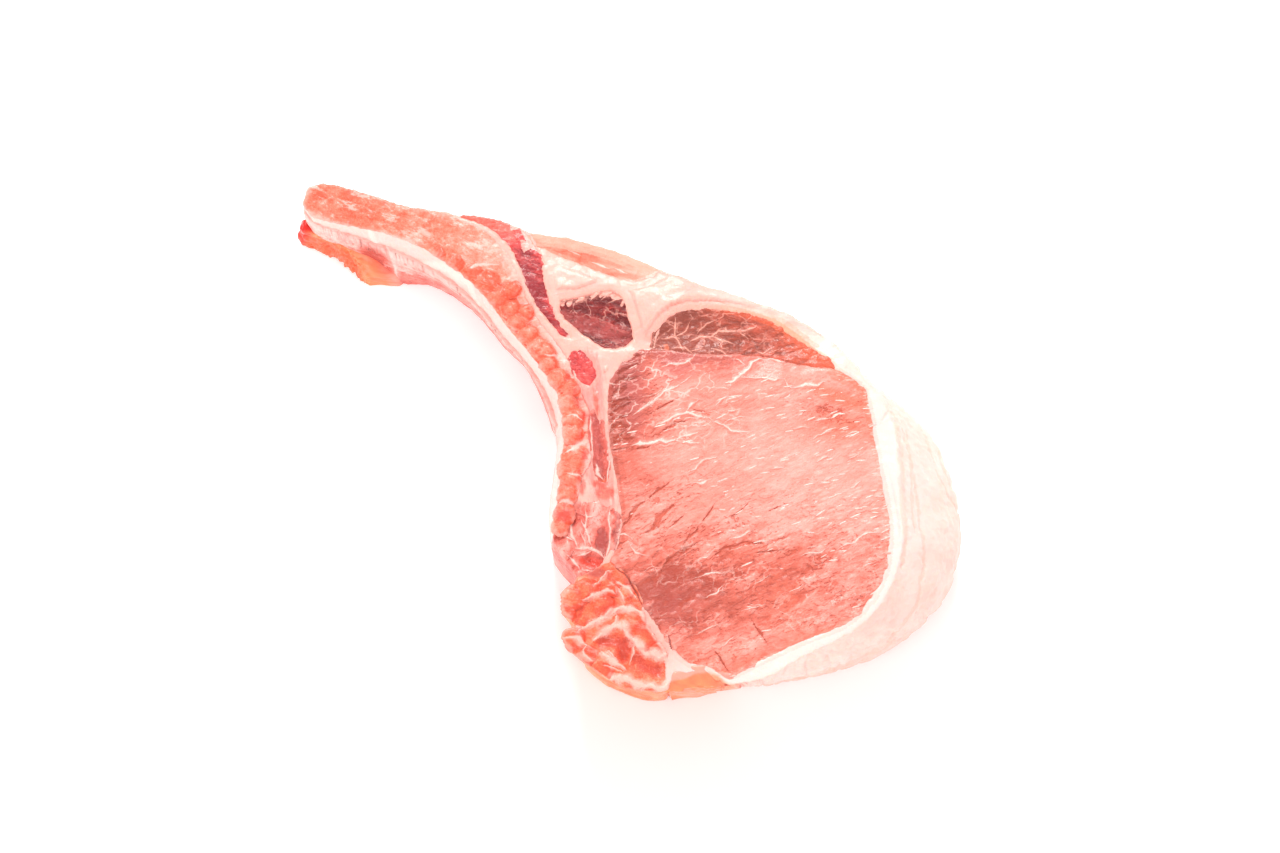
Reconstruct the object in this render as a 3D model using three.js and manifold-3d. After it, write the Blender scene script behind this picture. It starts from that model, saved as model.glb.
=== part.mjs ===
// A raw lamb chop on the bone: one long sawn rib with the meat left under it, the sawn end of the
// backbone, the round eye muscle with its darker cap, the lesser muscles round them, and the body of fat
// that wraps and parts them all. It lies on its lower cut face. Millimetres, +Z up, the rib towards -X.
//
// Every piece runs through the chop like a layer through a slice. The whole chop is lofted first, with
// walls that swell towards the fat side. The pieces are then cut from it in plan, each with a hair's
// breadth of room, and the fat is what remains.
import * as THREE from 'three';
import { mergeVertices } from 'three/addons/utils/BufferGeometryUtils.js';
import Module from 'manifold-3d';

const wasm = await Module();
wasm.setup();

// ---- driving dimensions ----
const THICKNESS = 20; // from the lower cut face to the upper one, before the upper face's swells
const SWELL_HEIGHT = 6; // height at which the outer wall stands furthest out
const FOOT_TUCK = 0.18; // share of the swell that the wall draws back again at the foot
const FOOT_ROUND = 0.8; // how far the foot's edge is rounded in
const GAP = 0.3; // room between two pieces that touch
const OUTLINE_STEP = 2.8; // spacing of the points along an outline
const FACE_STEP = 2.9; // spacing of the points on the upper face
const RIB_DEPTH = 10; // the sawn rib takes up the chop's thickness down to this height
const WALL_LEVELS = [0, 1.2, SWELL_HEIGHT, 10, 14, 17, THICKNESS]; // where the wall's slope changes
const CLEAR = 30; // a height or depth that is past every face

// ---- outlines on the upper face ----
// The chop's own edge, clockwise from the rib's tip: x, y, and how far the wall swells out below.
const CHOP_EDGE = [
  [-80.2, 0.8, 0.8], [-77.8, 3.4, 1], [-70, 5.6, 1], [-62, 8, 1.2], [-53, 12, 1.5], [-45.5, 15.6, 2],
  [-39, 17, 3], [-32, 20, 3.5], [-24, 22.8, 3.5], [-14.5, 24.8, 3.5], [-4.5, 27, 3.5], [3.5, 29.8, 3.5],
  [13, 32, 3.5], [24, 31.8, 3.5], [31.5, 29.8, 4], [37, 27.6, 6], [42, 24.4, 9.3], [47.4, 18.2, 12],
  [52.4, 11.6, 12.8], [56.4, 5, 11.6], [58.4, -2, 9.2], [58.2, -9.5, 6.4], [55.6, -16.5, 4.4],
  [52.2, -22.6, 2.8], [49.8, -28.3, 0.8], [46, -33, -0.6], [41.5, -36.2, -0.6], [37.5, -39.2, -0.6],
  [33.6, -43.4, -1.6], [28.5, -45.9, -2.6], [23, -46.8, -3], [17.5, -46, -2], [13.2, -44, 0.2],
  [15.2, -41.6, 0.2], [10.6, -40.2, 0.4], [9.8, -37, 0.6], [10.4, -34, 0.2], [6.4, -32, -0.8],
  [1.8, -30.2, 0.4], [-2, -23.4, 2.2], [-6, -17, 1.8], [-9.4, -11, 1.8], [-15, -5.8, 1.8],
  [-23, -2.6, 0.8], [-31, -0.2, 1.2], [-38.4, 2.6, 1.5], [-46.8, 4, 1.6], [-55.4, 4, 2], [-64, 2.2, 1.7],
  [-71.5, -0.8, 0.6], [-78, -2.6, 0],
];

// The pieces' outlines. A piece that comes out at the chop's edge has an outline that runs on past it,
// and one that lies straight against an earlier piece has an outline that runs on into that one.
const EYE = [
  [-6.5, 10], [-3.5, 12], [3.5, 15.6], [11.5, 21.3], [20.5, 25], [28, 28.4], [33.2, 27.8], [36.2, 24.8],
  [45, 15.5], [53, 6.6], [57, -3], [56, -12], [51.5, -19.2], [47, -27], [43.4, -33.2], [39.6, -33.8],
  [35.3, -35.8], [31, -34.4], [24.5, -32], [18, -28.8], [13.2, -27.2], [12.2, -23.8], [7.6, -17.2],
  [0.4, -9.9], [-5, -3.3], [-7.6, 0.5], [-8, 5],
];
const CAP = [
  [-5.5, 12.2], [-6.5, 16], [-5.5, 20.5], [-2, 24], [4.5, 27.8], [11.5, 29.8], [20, 29.2], [26.5, 28.6],
  [26, 25], [18, 21], [8, 16], [0, 11.5],
];
const SIDE_MUSCLE = [
  [-26, 10], [-22.6, 12.4], [-21.4, 14.9], [-18, 17.6], [-15.3, 16.6], [-11.5, 13.4], [-9.1, 11],
  [-10.3, 7.8], [-13.6, 6.3], [-19, 6.5], [-24, 7.2],
];
const STRIP_LONG = [
  [-55, 12.4], [-53, 17], [-44, 20], [-38.4, 16.8], [-33.9, 14.5], [-30.8, 11.4], [-26.6, 7.8],
  [-23, 5.6], [-17.8, 4.6], [-19, 3.4], [-22.4, 4], [-29.4, 6.4], [-34, 9.3], [-38, 11.8], [-42, 13.6],
  [-47, 13.9],
];
const STRIP_SHORT = [
  [-18.4, 2.3], [-17, 3.5], [-13, 2.3], [-10.4, 0], [-10.8, -1.8], [-12.4, -2], [-15.8, 0.1],
];
const SEAM_MUSCLE = [
  [-7, -4.8], [-4, -7.6], [-0.4, -11.2], [2, -13.8], [4.2, -16.2], [2.8, -16.9], [0.2, -14.4],
  [-3, -10.8], [-6, -6.9],
];
const JOINT_MUSCLE = [
  [1.8, -24.2], [2.4, -21.4], [4.4, -19.9], [6.4, -19], [9, -20.4], [10.6, -22.9], [11.4, -26],
  [11.4, -30.4], [9.6, -34], [4, -40], [-5, -37], [-1, -29.5], [1, -26.5],
];
const OUTER_MUSCLE = [
  [-43, 17.4], [-38, 16.4], [-33.2, 16.9], [-27, 18.2], [-21, 19.4], [-16.6, 20.8], [-14.6, 23],
  [-13, 31], [-30, 29], [-45, 23],
];
const RIB = [
  [-57, 22], [-54, 11.8], [-47.2, 12.4], [-42.3, 12.2], [-38.6, 10.6], [-34, 8], [-28.8, 4.6],
  [-22.6, 2.4], [-17, 0.2], [-13.4, -2.7], [-8.3, -5.4], [-4.6, -9.4], [-2.1, -14.8], [-0.8, -19.4],
  [0.7, -23.6], [2.4, -27.6], [0.4, -30], [-3, -38], [-14, -32], [-22, -16], [-40, -10], [-60, -9],
  [-80, -13], [-95, -5], [-92, 10], [-70, 18],
];
const RIB_MEAT = [
  [-55, 22], [-52, 10], [-38, 6.6], [-28, 2], [-19, -2.4], [-13.5, -7], [-14, -16], [-22, -16],
  [-40, -10], [-60, -9], [-80, -13], [-95, -5], [-92, 10], [-70, 18],
];
const CHINE = [
  [9.4, -33], [11.2, -31.4], [12.8, -28.4], [14, -26.6], [17.6, -27.6], [21.4, -30.4], [22.2, -32.2],
  [25, -34.6], [28.8, -36.4], [32, -37.6], [34.4, -40.6], [36.4, -46], [38, -52], [24, -58], [4, -52],
  [2, -38],
];
const TAIL = [
  [35.4, -42], [36, -38.8], [38, -36], [40.2, -34.8], [43.2, -35.4], [46, -33.4], [53, -37], [47, -50],
  [37, -50],
];
// The tongue of meat that hangs from the rib's tip, down on the board.
const FLAP = [
  [-81.5, -2.6], [-79, 0.5], [-71, 3], [-60, 4], [-55.5, 1], [-57.2, -2.2], [-62, -4.2], [-67, -4.8],
  [-72, -4.4], [-76, -4.4], [-79.6, -4.8],
];
const FLAP_HEIGHT = 8;
const FLAP_SLOPE = 1.5; // how far the tongue's upper edge lies inside its foot
const FLAP_LEVELS = [[0, 0.35], [0.12, 0], [0.4, 0.15], [0.8, 0.6], [1, 1]]; // shares of those two

// ---- swells and hollows of the upper face ----
// Centre, the two half-lengths, the turn of the longer one in degrees, and the height at the centre.
const FACE_SWELLS = [
  { x: 27, y: -5, long: 30, wide: 24, turn: -45, height: 1.1 }, // the eye crowns
  { x: 7, y: 23, long: 17, wide: 4.5, turn: 27, height: -1.7 }, // its cap has shrunk below it
  { x: -17, y: 11, long: 7, wide: 4.5, turn: 15, height: -0.9 }, // so has the side muscle
  { x: -28, y: 27, long: 17, wide: 8, turn: 14, height: -3.6 }, // the outer muscle slopes away
  { x: 10, y: 37, long: 28, wide: 7.5, turn: 6, height: -2.2 }, // the shoulder of the fat over the cap
  { x: -88, y: -2, long: 26, wide: 22, turn: 0, height: -4 }, // the rib droops to its tip
  { x: 8, y: -30, long: 6, wide: 4.5, turn: -60, height: -1.6 }, // the nick between rib and backbone
  { x: 25, y: -42, long: 9, wide: 5, turn: -10, height: 0.7 }, // the sawn backbone stands a little proud
  { x: -8, y: 19, long: 6, wide: 6, turn: 0, height: 0.8 }, // the thick corner of fat beside the cap
];

// ---- material finishes ----
const finish = (color, roughness) => new THREE.MeshStandardMaterial({ color, roughness, metalness: 0 });
const LEAN = finish(0xf2a498, 0.45);
const DARK_LEAN = finish(0xa64a44, 0.45);
const RED_LEAN = finish(0xe0706a, 0.45);
const FAT = finish(0xfff0e6, 0.5);
const BONE = finish(0xf6906f, 0.6);
const MEMBRANE = finish(0xf7b08c, 0.4);

// ---- outlines and solids ----

// A closed smooth curve through the points, as evenly spaced points. The third number is kept as z.
function smoothLoop(points) {
  const corners = points.map(([x, y, swell = 0]) => new THREE.Vector3(x, y, swell));
  const curve = new THREE.CatmullRomCurve3(corners, true, 'centripetal');
  const count = Math.round(curve.getLength() / OUTLINE_STEP);
  return curve.getSpacedPoints(count).slice(0, count);
}

// The outward direction at each point of a closed loop, whichever way round the loop runs.
function outward(loop) {
  const side = THREE.ShapeUtils.area(loop) > 0 ? 1 : -1;
  return loop.map((_, i) => {
    const before = loop.at(i - 1);
    const after = loop[(i + 1) % loop.length];
    return new THREE.Vector3(after.y - before.y, before.x - after.x, 0).setLength(side);
  });
}

// The loop moved outwards by a distance for each point, and up to a height.
function moved(loop, distance, z) {
  const away = outward(loop);
  return loop.map((p, i) => new THREE.Vector3(p.x, p.y, z).addScaledVector(away[i], distance(p)));
}

// A solid through a stack of loops with equally many points, from the lowest to the highest.
function stack(levels) {
  const around = levels[0].length;
  const anticlockwise = THREE.ShapeUtils.area(levels[0]) > 0;
  const faces = [];
  const face = (a, b, c) => faces.push(...(anticlockwise ? [a, b, c] : [a, c, b]));
  for (let level = 0; level + 1 < levels.length; level++) {
    for (let i = 0; i < around; i++) {
      const j = (i + 1) % around;
      const low = level * around;
      const high = low + around;
      face(low + i, low + j, high + j);
      face(low + i, high + j, high + i);
    }
  }
  const close = (level, up) => {
    const start = level * around;
    for (const [a, b, c] of THREE.ShapeUtils.triangulateShape(levels[level], [])) {
      faces.push(...(up ? [start + a, start + b, start + c] : [start + a, start + c, start + b]));
    }
  };
  close(levels.length - 1, true);
  close(0, false);
  const corners = new Float32Array(levels.flat().flatMap((p) => [p.x, p.y, p.z]));
  const geometry = new THREE.BufferGeometry();
  geometry.setAttribute('position', new THREE.BufferAttribute(corners, 3));
  geometry.setIndex(faces);
  return solidOf(geometry);
}

function solidOf(geometry) {
  geometry.deleteAttribute('normal');
  geometry.deleteAttribute('uv');
  const merged = mergeVertices(geometry, 1e-4);
  const vertProperties = merged.attributes.position.array;
  const triVerts = new Uint32Array(merged.index.array);
  return new wasm.Manifold(new wasm.Mesh({ numProp: 3, vertProperties, triVerts }));
}

// A straight-walled block over an outline, grown sideways and reaching from one height to another.
function block(outline, grow = 0, low = -CLEAR, high = CLEAR) {
  const loop = smoothLoop(outline);
  return stack([low, high].map((z) => moved(loop, () => grow, z)));
}

// The share of its swell that the wall has reached at a height: none at the upper face, all of it at
// SWELL_HEIGHT, and a little less at the foot.
function swellAt(z) {
  const above = (z - SWELL_HEIGHT) / (THICKNESS - SWELL_HEIGHT);
  if (above >= 0) return 1 - Math.min(above, 1) ** 2;
  return 1 - FOOT_TUCK * (1 - z / SWELL_HEIGHT) ** 2;
}

function faceHeight(x, y) {
  let z = THICKNESS;
  for (const swell of FACE_SWELLS) {
    const turn = THREE.MathUtils.degToRad(swell.turn);
    const dx = x - swell.x;
    const dy = y - swell.y;
    const along = (dx * Math.cos(turn) + dy * Math.sin(turn)) / swell.long;
    const across = (dy * Math.cos(turn) - dx * Math.sin(turn)) / swell.wide;
    z += swell.height * Math.exp(-(along ** 2) - across ** 2);
  }
  return z;
}

// What lies above the upper face, as one thick lid whose underside is the face.
function airAbove(loop) {
  const box = new THREE.Box3().setFromPoints(loop).expandByScalar(FACE_STEP);
  const size = box.getSize(new THREE.Vector3());
  const centre = box.getCenter(new THREE.Vector3());
  const cells = [size.x, size.y].map((length) => Math.ceil(length / FACE_STEP));
  const lid = new THREE.BoxGeometry(size.x, size.y, CLEAR, cells[0], cells[1], 1);
  lid.translate(centre.x, centre.y, CLEAR / 2);
  const corners = lid.attributes.position;
  for (let i = 0; i < corners.count; i++) {
    if (corners.getZ(i) < CLEAR / 2) corners.setZ(i, faceHeight(corners.getX(i), corners.getY(i)));
    else corners.setZ(i, THICKNESS + CLEAR);
  }
  return solidOf(lid);
}

// The whole chop. A grown one, a little larger all round, cuts room for what lies against it.
function wholeChop(grow = 0) {
  const loop = smoothLoop(CHOP_EDGE);
  const levels = [...WALL_LEVELS, THICKNESS + CLEAR / 2].map((z) => {
    const round = z === 0 ? FOOT_ROUND : 0;
    return moved(loop, (p) => p.z * swellAt(z) - round + grow, z);
  });
  return stack(levels).subtract(airAbove(loop));
}

// The tongue of meat under the rib's tip, cut to lie against the chop's wall.
function flap() {
  const loop = smoothLoop(FLAP);
  const levels = FLAP_LEVELS.map(([up, inwards]) => {
    return moved(loop, () => -FLAP_SLOPE * inwards, FLAP_HEIGHT * up);
  });
  return stack(levels).subtract(wholeChop(GAP));
}

// ---- the pieces ----
const chop = new THREE.Group();

function addPiece(name, solid, material) {
  const { numProp, numVert, vertProperties, triVerts } = solid.getMesh();
  const corners = new Float32Array(numVert * 3);
  for (let i = 0; i < numVert; i++) {
    corners.set(vertProperties.subarray(i * numProp, i * numProp + 3), i * 3);
  }
  const geometry = new THREE.BufferGeometry();
  geometry.setAttribute('position', new THREE.BufferAttribute(corners, 3));
  geometry.setIndex(new THREE.BufferAttribute(triVerts, 1));
  geometry.computeVertexNormals();
  const mesh = new THREE.Mesh(geometry, material);
  mesh.name = name;
  chop.add(mesh);
}

// Cuts a piece out of what is left of the chop, with room round it, and adds it.
function carve(name, rest, outline, material) {
  addPiece(name, rest.intersect(block(outline)), material);
  return rest.subtract(block(outline, GAP));
}

let rest = wholeChop();
const underRib = (grow) => block(RIB_MEAT, grow, -CLEAR, RIB_DEPTH - GAP + grow);
addPiece('rib_meat', rest.intersect(underRib(0)), RED_LEAN);
rest = rest.subtract(underRib(GAP));
rest = carve('rib_bone', rest, RIB, BONE);
rest = carve('eye_muscle', rest, EYE, LEAN);
rest = carve('cap_muscle', rest, CAP, DARK_LEAN);
rest = carve('side_muscle', rest, SIDE_MUSCLE, DARK_LEAN);
rest = carve('strip_muscle_long', rest, STRIP_LONG, RED_LEAN);
rest = carve('strip_muscle_short', rest, STRIP_SHORT, RED_LEAN);
rest = carve('seam_muscle', rest, SEAM_MUSCLE, RED_LEAN);
rest = carve('joint_muscle', rest, JOINT_MUSCLE, RED_LEAN);
rest = carve('chine_bone', rest, CHINE, BONE);
rest = carve('tail_sinew', rest, TAIL, MEMBRANE);
rest = carve('outer_muscle', rest, OUTER_MUSCLE, MEMBRANE);
addPiece('fat_body', rest, FAT);
addPiece('end_flap', flap(), MEMBRANE);

// The origin is the middle of the box round the chop, on the face that it lies on.
const middle = new THREE.Box3().setFromObject(chop).getCenter(new THREE.Vector3());
chop.position.set(-middle.x, -middle.y, 0);

export default chop;
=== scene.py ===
import math

import bmesh
import bpy
import numpy as np
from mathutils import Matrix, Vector
from mathutils.bvhtree import BVHTree


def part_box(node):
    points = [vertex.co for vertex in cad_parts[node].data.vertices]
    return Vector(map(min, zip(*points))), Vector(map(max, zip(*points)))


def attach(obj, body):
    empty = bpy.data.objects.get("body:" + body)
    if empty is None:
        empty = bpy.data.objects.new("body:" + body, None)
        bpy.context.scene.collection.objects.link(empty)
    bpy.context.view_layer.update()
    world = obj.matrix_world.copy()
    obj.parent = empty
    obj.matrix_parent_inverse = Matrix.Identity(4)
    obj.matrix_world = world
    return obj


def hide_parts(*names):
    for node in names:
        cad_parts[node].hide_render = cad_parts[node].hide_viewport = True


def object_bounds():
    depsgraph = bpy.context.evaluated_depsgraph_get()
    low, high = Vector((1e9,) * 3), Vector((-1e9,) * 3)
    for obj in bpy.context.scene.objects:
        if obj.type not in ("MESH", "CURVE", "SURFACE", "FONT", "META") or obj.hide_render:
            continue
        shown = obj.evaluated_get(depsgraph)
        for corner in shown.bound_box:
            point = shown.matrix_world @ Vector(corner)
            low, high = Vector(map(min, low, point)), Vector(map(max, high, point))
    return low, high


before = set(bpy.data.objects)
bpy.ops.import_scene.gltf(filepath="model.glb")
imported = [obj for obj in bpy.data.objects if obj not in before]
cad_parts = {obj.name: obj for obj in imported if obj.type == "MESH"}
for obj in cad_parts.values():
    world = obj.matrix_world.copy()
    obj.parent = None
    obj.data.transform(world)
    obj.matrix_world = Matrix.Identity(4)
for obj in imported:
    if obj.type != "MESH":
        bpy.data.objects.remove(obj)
cad_low, cad_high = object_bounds()

MM = 0.001
LEAN_NODES = ("eye_muscle", "cap_muscle", "side_muscle", "strip_muscle_long", "strip_muscle_short",
              "seam_muscle", "joint_muscle", "outer_muscle", "rib_meat")


def placed(name, data):
    """A new object in the scene."""
    made = bpy.data.objects.new(name, data)
    bpy.context.scene.collection.objects.link(made)
    return made


# ---------------------------------------------------------------- camera, light and table

VIEW_TURN, VIEW_TILT, VIEW_REACH = math.radians(35), math.radians(72), 0.59
AIM_BESIDE = Vector((6.9, 5.5, 0)) * MM  # from the middle of the chop to the place that the camera aims at
AIM_HEIGHT = 10 * MM
middle = (cad_low + cad_high) / 2
aim = Vector((middle.x, middle.y, AIM_HEIGHT)) + AIM_BESIDE
towards = Vector((math.sin(VIEW_TURN) * math.cos(VIEW_TILT),
                  -math.cos(VIEW_TURN) * math.cos(VIEW_TILT), math.sin(VIEW_TILT)))
camera = placed("camera", bpy.data.cameras.new("camera"))
camera.data.lens = 85
camera.data.sensor_width = 36
camera.data.clip_start = 0.05
camera.data.clip_end = 20
camera.location = aim + towards * VIEW_REACH
camera.rotation_euler = (-towards).to_track_quat("-Z", "Y").to_euler()
bpy.context.scene.camera = camera
bpy.context.scene.view_settings.view_transform = "Standard"


def soft_box(name, place, size, watts):
    """A round soft light that faces the chop."""
    lamp = bpy.data.lights.new(name, "AREA")
    lamp.shape = "DISK"
    lamp.size = size
    lamp.energy = watts
    lamp.color = (1.0, 0.93, 0.90)
    holder = placed(name, lamp)
    holder.location = Vector(place)
    holder.rotation_euler = (middle - holder.location).to_track_quat("-Z", "Y").to_euler()


soft_box("key_light", (-0.58, 0.76, 0.84), 0.45, 14.0)
soft_box("front_light", (-0.25, -1.05, 0.60), 0.9, 8.0)
soft_box("right_light", (0.95, -0.05, 0.80), 0.9, 4.0)

world = bpy.data.worlds.new("studio")
world.use_nodes = True
world.node_tree.nodes["Background"].inputs["Color"].default_value = (1.0, 0.90, 0.86, 1)
world.node_tree.nodes["Background"].inputs["Strength"].default_value = 0.80
bpy.context.scene.world = world

LIGHT = (1.20, 1.50, 1.53)  # how bright a rough white card comes out under these lights
MOST_PAINT = 0.93  # the palest that a surface may be


def paint(red, green, blue):
    """The shader's value for a colour as it should come out under the studio lights. Over 255 it glares."""
    made = []
    for part, light in zip((red, green, blue), LIGHT):
        part /= 255
        linear = part / 12.92 if part <= 0.04045 else ((part + 0.055) / 1.055) ** 2.4
        made.append(min(linear / light, MOST_PAINT))
    return (*made, 1.0)


# ---------------------------------------------------------------- shader helpers


class Socket:
    """A shader value that can be added, subtracted and multiplied like a number."""

    def __init__(self, finish, out):
        self.finish, self.out = finish, out

    def __add__(self, other):
        return self.finish.math("ADD", self, other)

    def __mul__(self, other):
        return self.finish.math("MULTIPLY", self, other)

    def __sub__(self, other):
        return self.finish.math("SUBTRACT", self, other)

    def __rsub__(self, other):
        return self.finish.math("SUBTRACT", other, self)

    __radd__, __rmul__ = __add__, __mul__


class Finish:
    """One material, the nodes that paint it and the colour that they have come to so far. Shades are given
    as (red, green, blue) for paint, or as a shader value."""

    def __init__(self, name):
        self.material = bpy.data.materials.new(name)
        self.material.use_nodes = True
        self.tree = self.material.node_tree
        self.tree.nodes.clear()
        place = self.node("ShaderNodeTexCoord", out="Object")
        self.place = self.node("ShaderNodeVectorMath", {"operation": "SCALE"}, {0: place, "Scale": 1 / MM})
        self.colour = None

    def node(self, kind, settings=None, sockets=None, out=0):
        made = self.tree.nodes.new(kind)
        for name, value in (settings or {}).items():
            if name == "stops":
                ramp = made.color_ramp.elements
                while len(ramp) < len(value):
                    ramp.new(0.5)
                for stop, (place, shade) in zip(ramp, value):
                    stop.position, stop.color = place, paint(*shade)
            else:
                setattr(made, name, value)
        for name, value in (sockets or {}).items():
            if isinstance(value, Socket):
                self.tree.links.new(value.out, made.inputs[name])
            else:
                made.inputs[name].default_value = value
        return Socket(self, made.outputs[out])

    def math(self, operation, first, second=0.0):
        return self.node("ShaderNodeMath", {"operation": operation}, {0: first, 1: second})

    def mark(self, name, *noises):
        """The value that the mesh carries under this name, roughened by noises, each as (noise, amount)."""
        value = self.node("ShaderNodeAttribute", {"attribute_name": name}, out="Fac")
        for noise, amount in noises:
            value = value + (noise - 0.5) * amount
        return value

    def step(self, value, low, high):
        """0 up to low, 1 from high on, and a smooth rise between. With high below low it falls instead."""
        return self.node("ShaderNodeMapRange", {"interpolation_type": "SMOOTHSTEP"},
                         {"Value": value, "From Min": low, "From Max": high})

    def blend(self, mask, under, over):
        """The shade under, with the shade over laid on it where the mask is 1."""
        under, over = (shade if isinstance(shade, Socket) else paint(*shade) for shade in (under, over))
        return self.node("ShaderNodeMix", {"data_type": "RGBA"}, {0: mask, 6: under, 7: over}, out=2)

    def cover(self, mask, shade):
        """Lays the shade over the colour so far where the mask is 1."""
        self.colour = self.blend(mask, self.colour, shade)

    def lay(self, name, low, high, most, shade, *noises):
        """Lays the shade over the colour so far, as the mesh's mark goes from low to high, up to most."""
        self.cover(self.step(self.mark(name, *noises), low, high) * most, shade)

    def along(self, turn, stretch, shift=(0.0, 0.0, 0.0)):
        """The place in millimetres, turned in plan and drawn out along that direction."""
        return self.node("ShaderNodeMapping", {"vector_type": "TEXTURE"},
                         {"Vector": self.place, "Rotation": (0, 0, math.radians(turn)),
                          "Location": tuple(-part for part in shift), "Scale": (stretch, 1, 1)})

    def swayed(self, vector, size, amount):
        """The vector, pushed about by soft noise."""
        sway = self.node("ShaderNodeTexNoise", {},
                         {"Vector": self.place, "Scale": 1 / size, "Detail": 2.0}, out="Color")
        return self.node("ShaderNodeVectorMath", {"operation": "MULTIPLY_ADD"},
                         {0: sway, 1: (amount, amount, amount), 2: vector})

    def ramp(self, value, places, shades):
        """A colour that follows the value through the shades, which stand at these places."""
        return self.node("ShaderNodeValToRGB", {"stops": list(zip(places, shades))}, {0: value})

    def noise(self, size, detail, roughness, vector=None, twist=0.0):
        """Soft noise with spots of about size millimetres, from 0 to 1."""
        return self.node("ShaderNodeTexNoise", {},
                         {"Vector": vector or self.place, "Scale": 1 / size, "Detail": detail,
                          "Roughness": roughness, "Distortion": twist})

    def cells(self, size, vector, feature="F1", out="Distance"):
        return self.node("ShaderNodeTexVoronoi", {"feature": feature},
                         {"Vector": vector, "Scale": 1 / size}, out=out)

    def stroke(self, name, fray, soft, reach=0.5):
        """1 inside the strokes that the mesh carries under this name, with edges roughened by fray."""
        across = self.math("ABSOLUTE", self.mark(name + "_across")) + fray
        away = self.step(self.mark(name + "_away"), reach * 0.4, reach)
        return (1 - self.step(across, 0.5, 0.8 + soft)) * (1 - away)

    def below(self, name, fray, most):
        """1 in the strip along the right-hand side of the strokes, most half widths wide."""
        across = (self.mark(name + "_across") + fray) * -1
        strip = self.step(across, 0.6, 1.2) * (1 - self.step(across, most * 0.5, most))
        return strip * (1 - self.step(self.mark(name + "_away"), 0.3, 1.0))

    def slits(self, fine):
        """Paints dark the slits where two pieces have drawn apart, as the shade inside them."""
        self.cover(self.stroke("slit", (fine - 0.5) * 0.8, 0.8) * 0.75, (150, 70, 62))

    def dashes(self, size, turn, stretch, amount, fray):
        """Short dashes that lie along one way, about size millimetres apart. They grow with the amount."""
        lie = self.along(turn, stretch)
        own = self.cells(size, lie, out="Color")
        away = self.cells(size, lie) + fray
        return 1 - self.step(away - (own + amount - 1.0) * 0.42, -0.06, 0.06)

    def bump(self, height, depth):
        return self.node("ShaderNodeBump", {}, {"Height": height, "Distance": depth * MM})

    def surface(self, sockets):
        """Ends the material in one surface with these values."""
        skin = self.node("ShaderNodeBsdfPrincipled", {}, sockets)
        end = self.tree.nodes.new("ShaderNodeOutputMaterial")
        self.tree.links.new(skin.out, end.inputs["Surface"])
        return self.material

    def close(self, roughness, normal, flesh, bleed, coat):
        """Ends the material in one wet, slightly see-through surface of the colour so far."""
        return self.surface({
            "Base Color": self.colour, "Roughness": roughness, "Normal": normal, "IOR": 1.4,
            "Subsurface Weight": flesh, "Subsurface Radius": (1.0, 0.42, 0.28),
            "Subsurface Scale": bleed * MM, "Coat Weight": coat, "Coat Roughness": 0.14})


def table_finish():
    """A white table that glows a little, more so towards the back."""
    finish = Finish("table")
    back = finish.node("ShaderNodeVectorMath", {"operation": "DOT_PRODUCT"},
                       {0: finish.place, 1: (-0.57, 0.82, 0.0)}, out="Value")
    glow = finish.step(back, -52.0, -12.0) * 0.75 + 0.25
    return finish.surface({"Base Color": (0.93, 0.905, 0.93, 1), "Roughness": 0.9, "Specular IOR Level": 0.1,
                           "Emission Color": glow, "Emission Strength": 0.30})


bpy.ops.mesh.primitive_plane_add(size=8, location=(0, 0, 0))
table = bpy.context.object
table.name = "table"
table.data.materials.append(table_finish())

# ---------------------------------------------------------------- noise and distances on points, in mm

ORIGIN = (0, 0)
SLOPES = np.array([(1, 1, 0), (-1, 1, 0), (1, -1, 0), (-1, -1, 0), (1, 0, 1), (-1, 0, 1),
                   (1, 0, -1), (-1, 0, -1), (0, 1, 1), (0, -1, 1), (0, 1, -1), (0, -1, -1)], float)


def scramble(cell, seed):
    """A fixed random whole number for each lattice cell."""
    mixed = cell.astype(np.int64) * np.array([73856093, 19349663, 83492791])
    number = (mixed[..., 0] ^ mixed[..., 1] ^ mixed[..., 2] ^ (seed * 2654435761)) & 0xFFFFFFFF
    number = ((number ^ (number >> 15)) * 2246822519) & 0xFFFFFFFF
    number = ((number ^ (number >> 13)) * 3266489917) & 0xFFFFFFFF
    return number ^ (number >> 16)


def waves(points, size, seed, octaves=1):
    """Smooth noise from about -1 to 1, with waves of about size millimetres."""
    total, strength, whole = np.zeros(len(points)), 1.0, 0.0
    for octave in range(octaves):
        grid = points / (size / 2 ** octave)
        cell = np.floor(grid).astype(np.int64)
        inside = grid - cell
        ease = inside * inside * inside * (inside * (inside * 6 - 15) + 10)
        value = np.zeros(len(points))
        for corner in np.ndindex(2, 2, 2):
            slope = SLOPES[scramble(cell + corner, seed + octave) % 12]
            share = np.prod(np.where(corner, ease, 1 - ease), axis=1)
            value += share * ((inside - corner) * slope).sum(1)
        total += value * strength
        whole += strength
        strength *= 0.5
    return total * 1.5 / whole


def waves_in_plan(points, size, seed, octaves=1):
    """A push for each point, in the plan: smooth noise in both directions."""
    pushes = [waves(points, size, seed + axis, octaves) for axis in range(2)]
    return np.stack([*pushes, 0 * points[:, 0]], 1)


def lumps(points, size, seed):
    """For each point: how far its lump's middle is, how far the next one is, and the lump's own number."""
    grid = points / size
    cell = np.floor(grid).astype(np.int64)
    near, second, own = np.full(len(points), 9.0), np.full(len(points), 9.0), np.zeros(len(points))
    for step in np.ndindex(3, 3, 3):
        other = cell + np.array(step) - 1
        place = np.stack([scramble(other, seed + axis) % 1024 / 1024 for axis in range(3)], 1)
        away = np.sqrt(((other + place - grid) ** 2).sum(1))
        closer = away < near
        second = np.where(closer, near, np.minimum(second, away))
        own = np.where(closer, scramble(other, seed + 7) % 997 / 997, own)
        near = np.where(closer, away, near)
    return near * size, second * size, own


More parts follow.
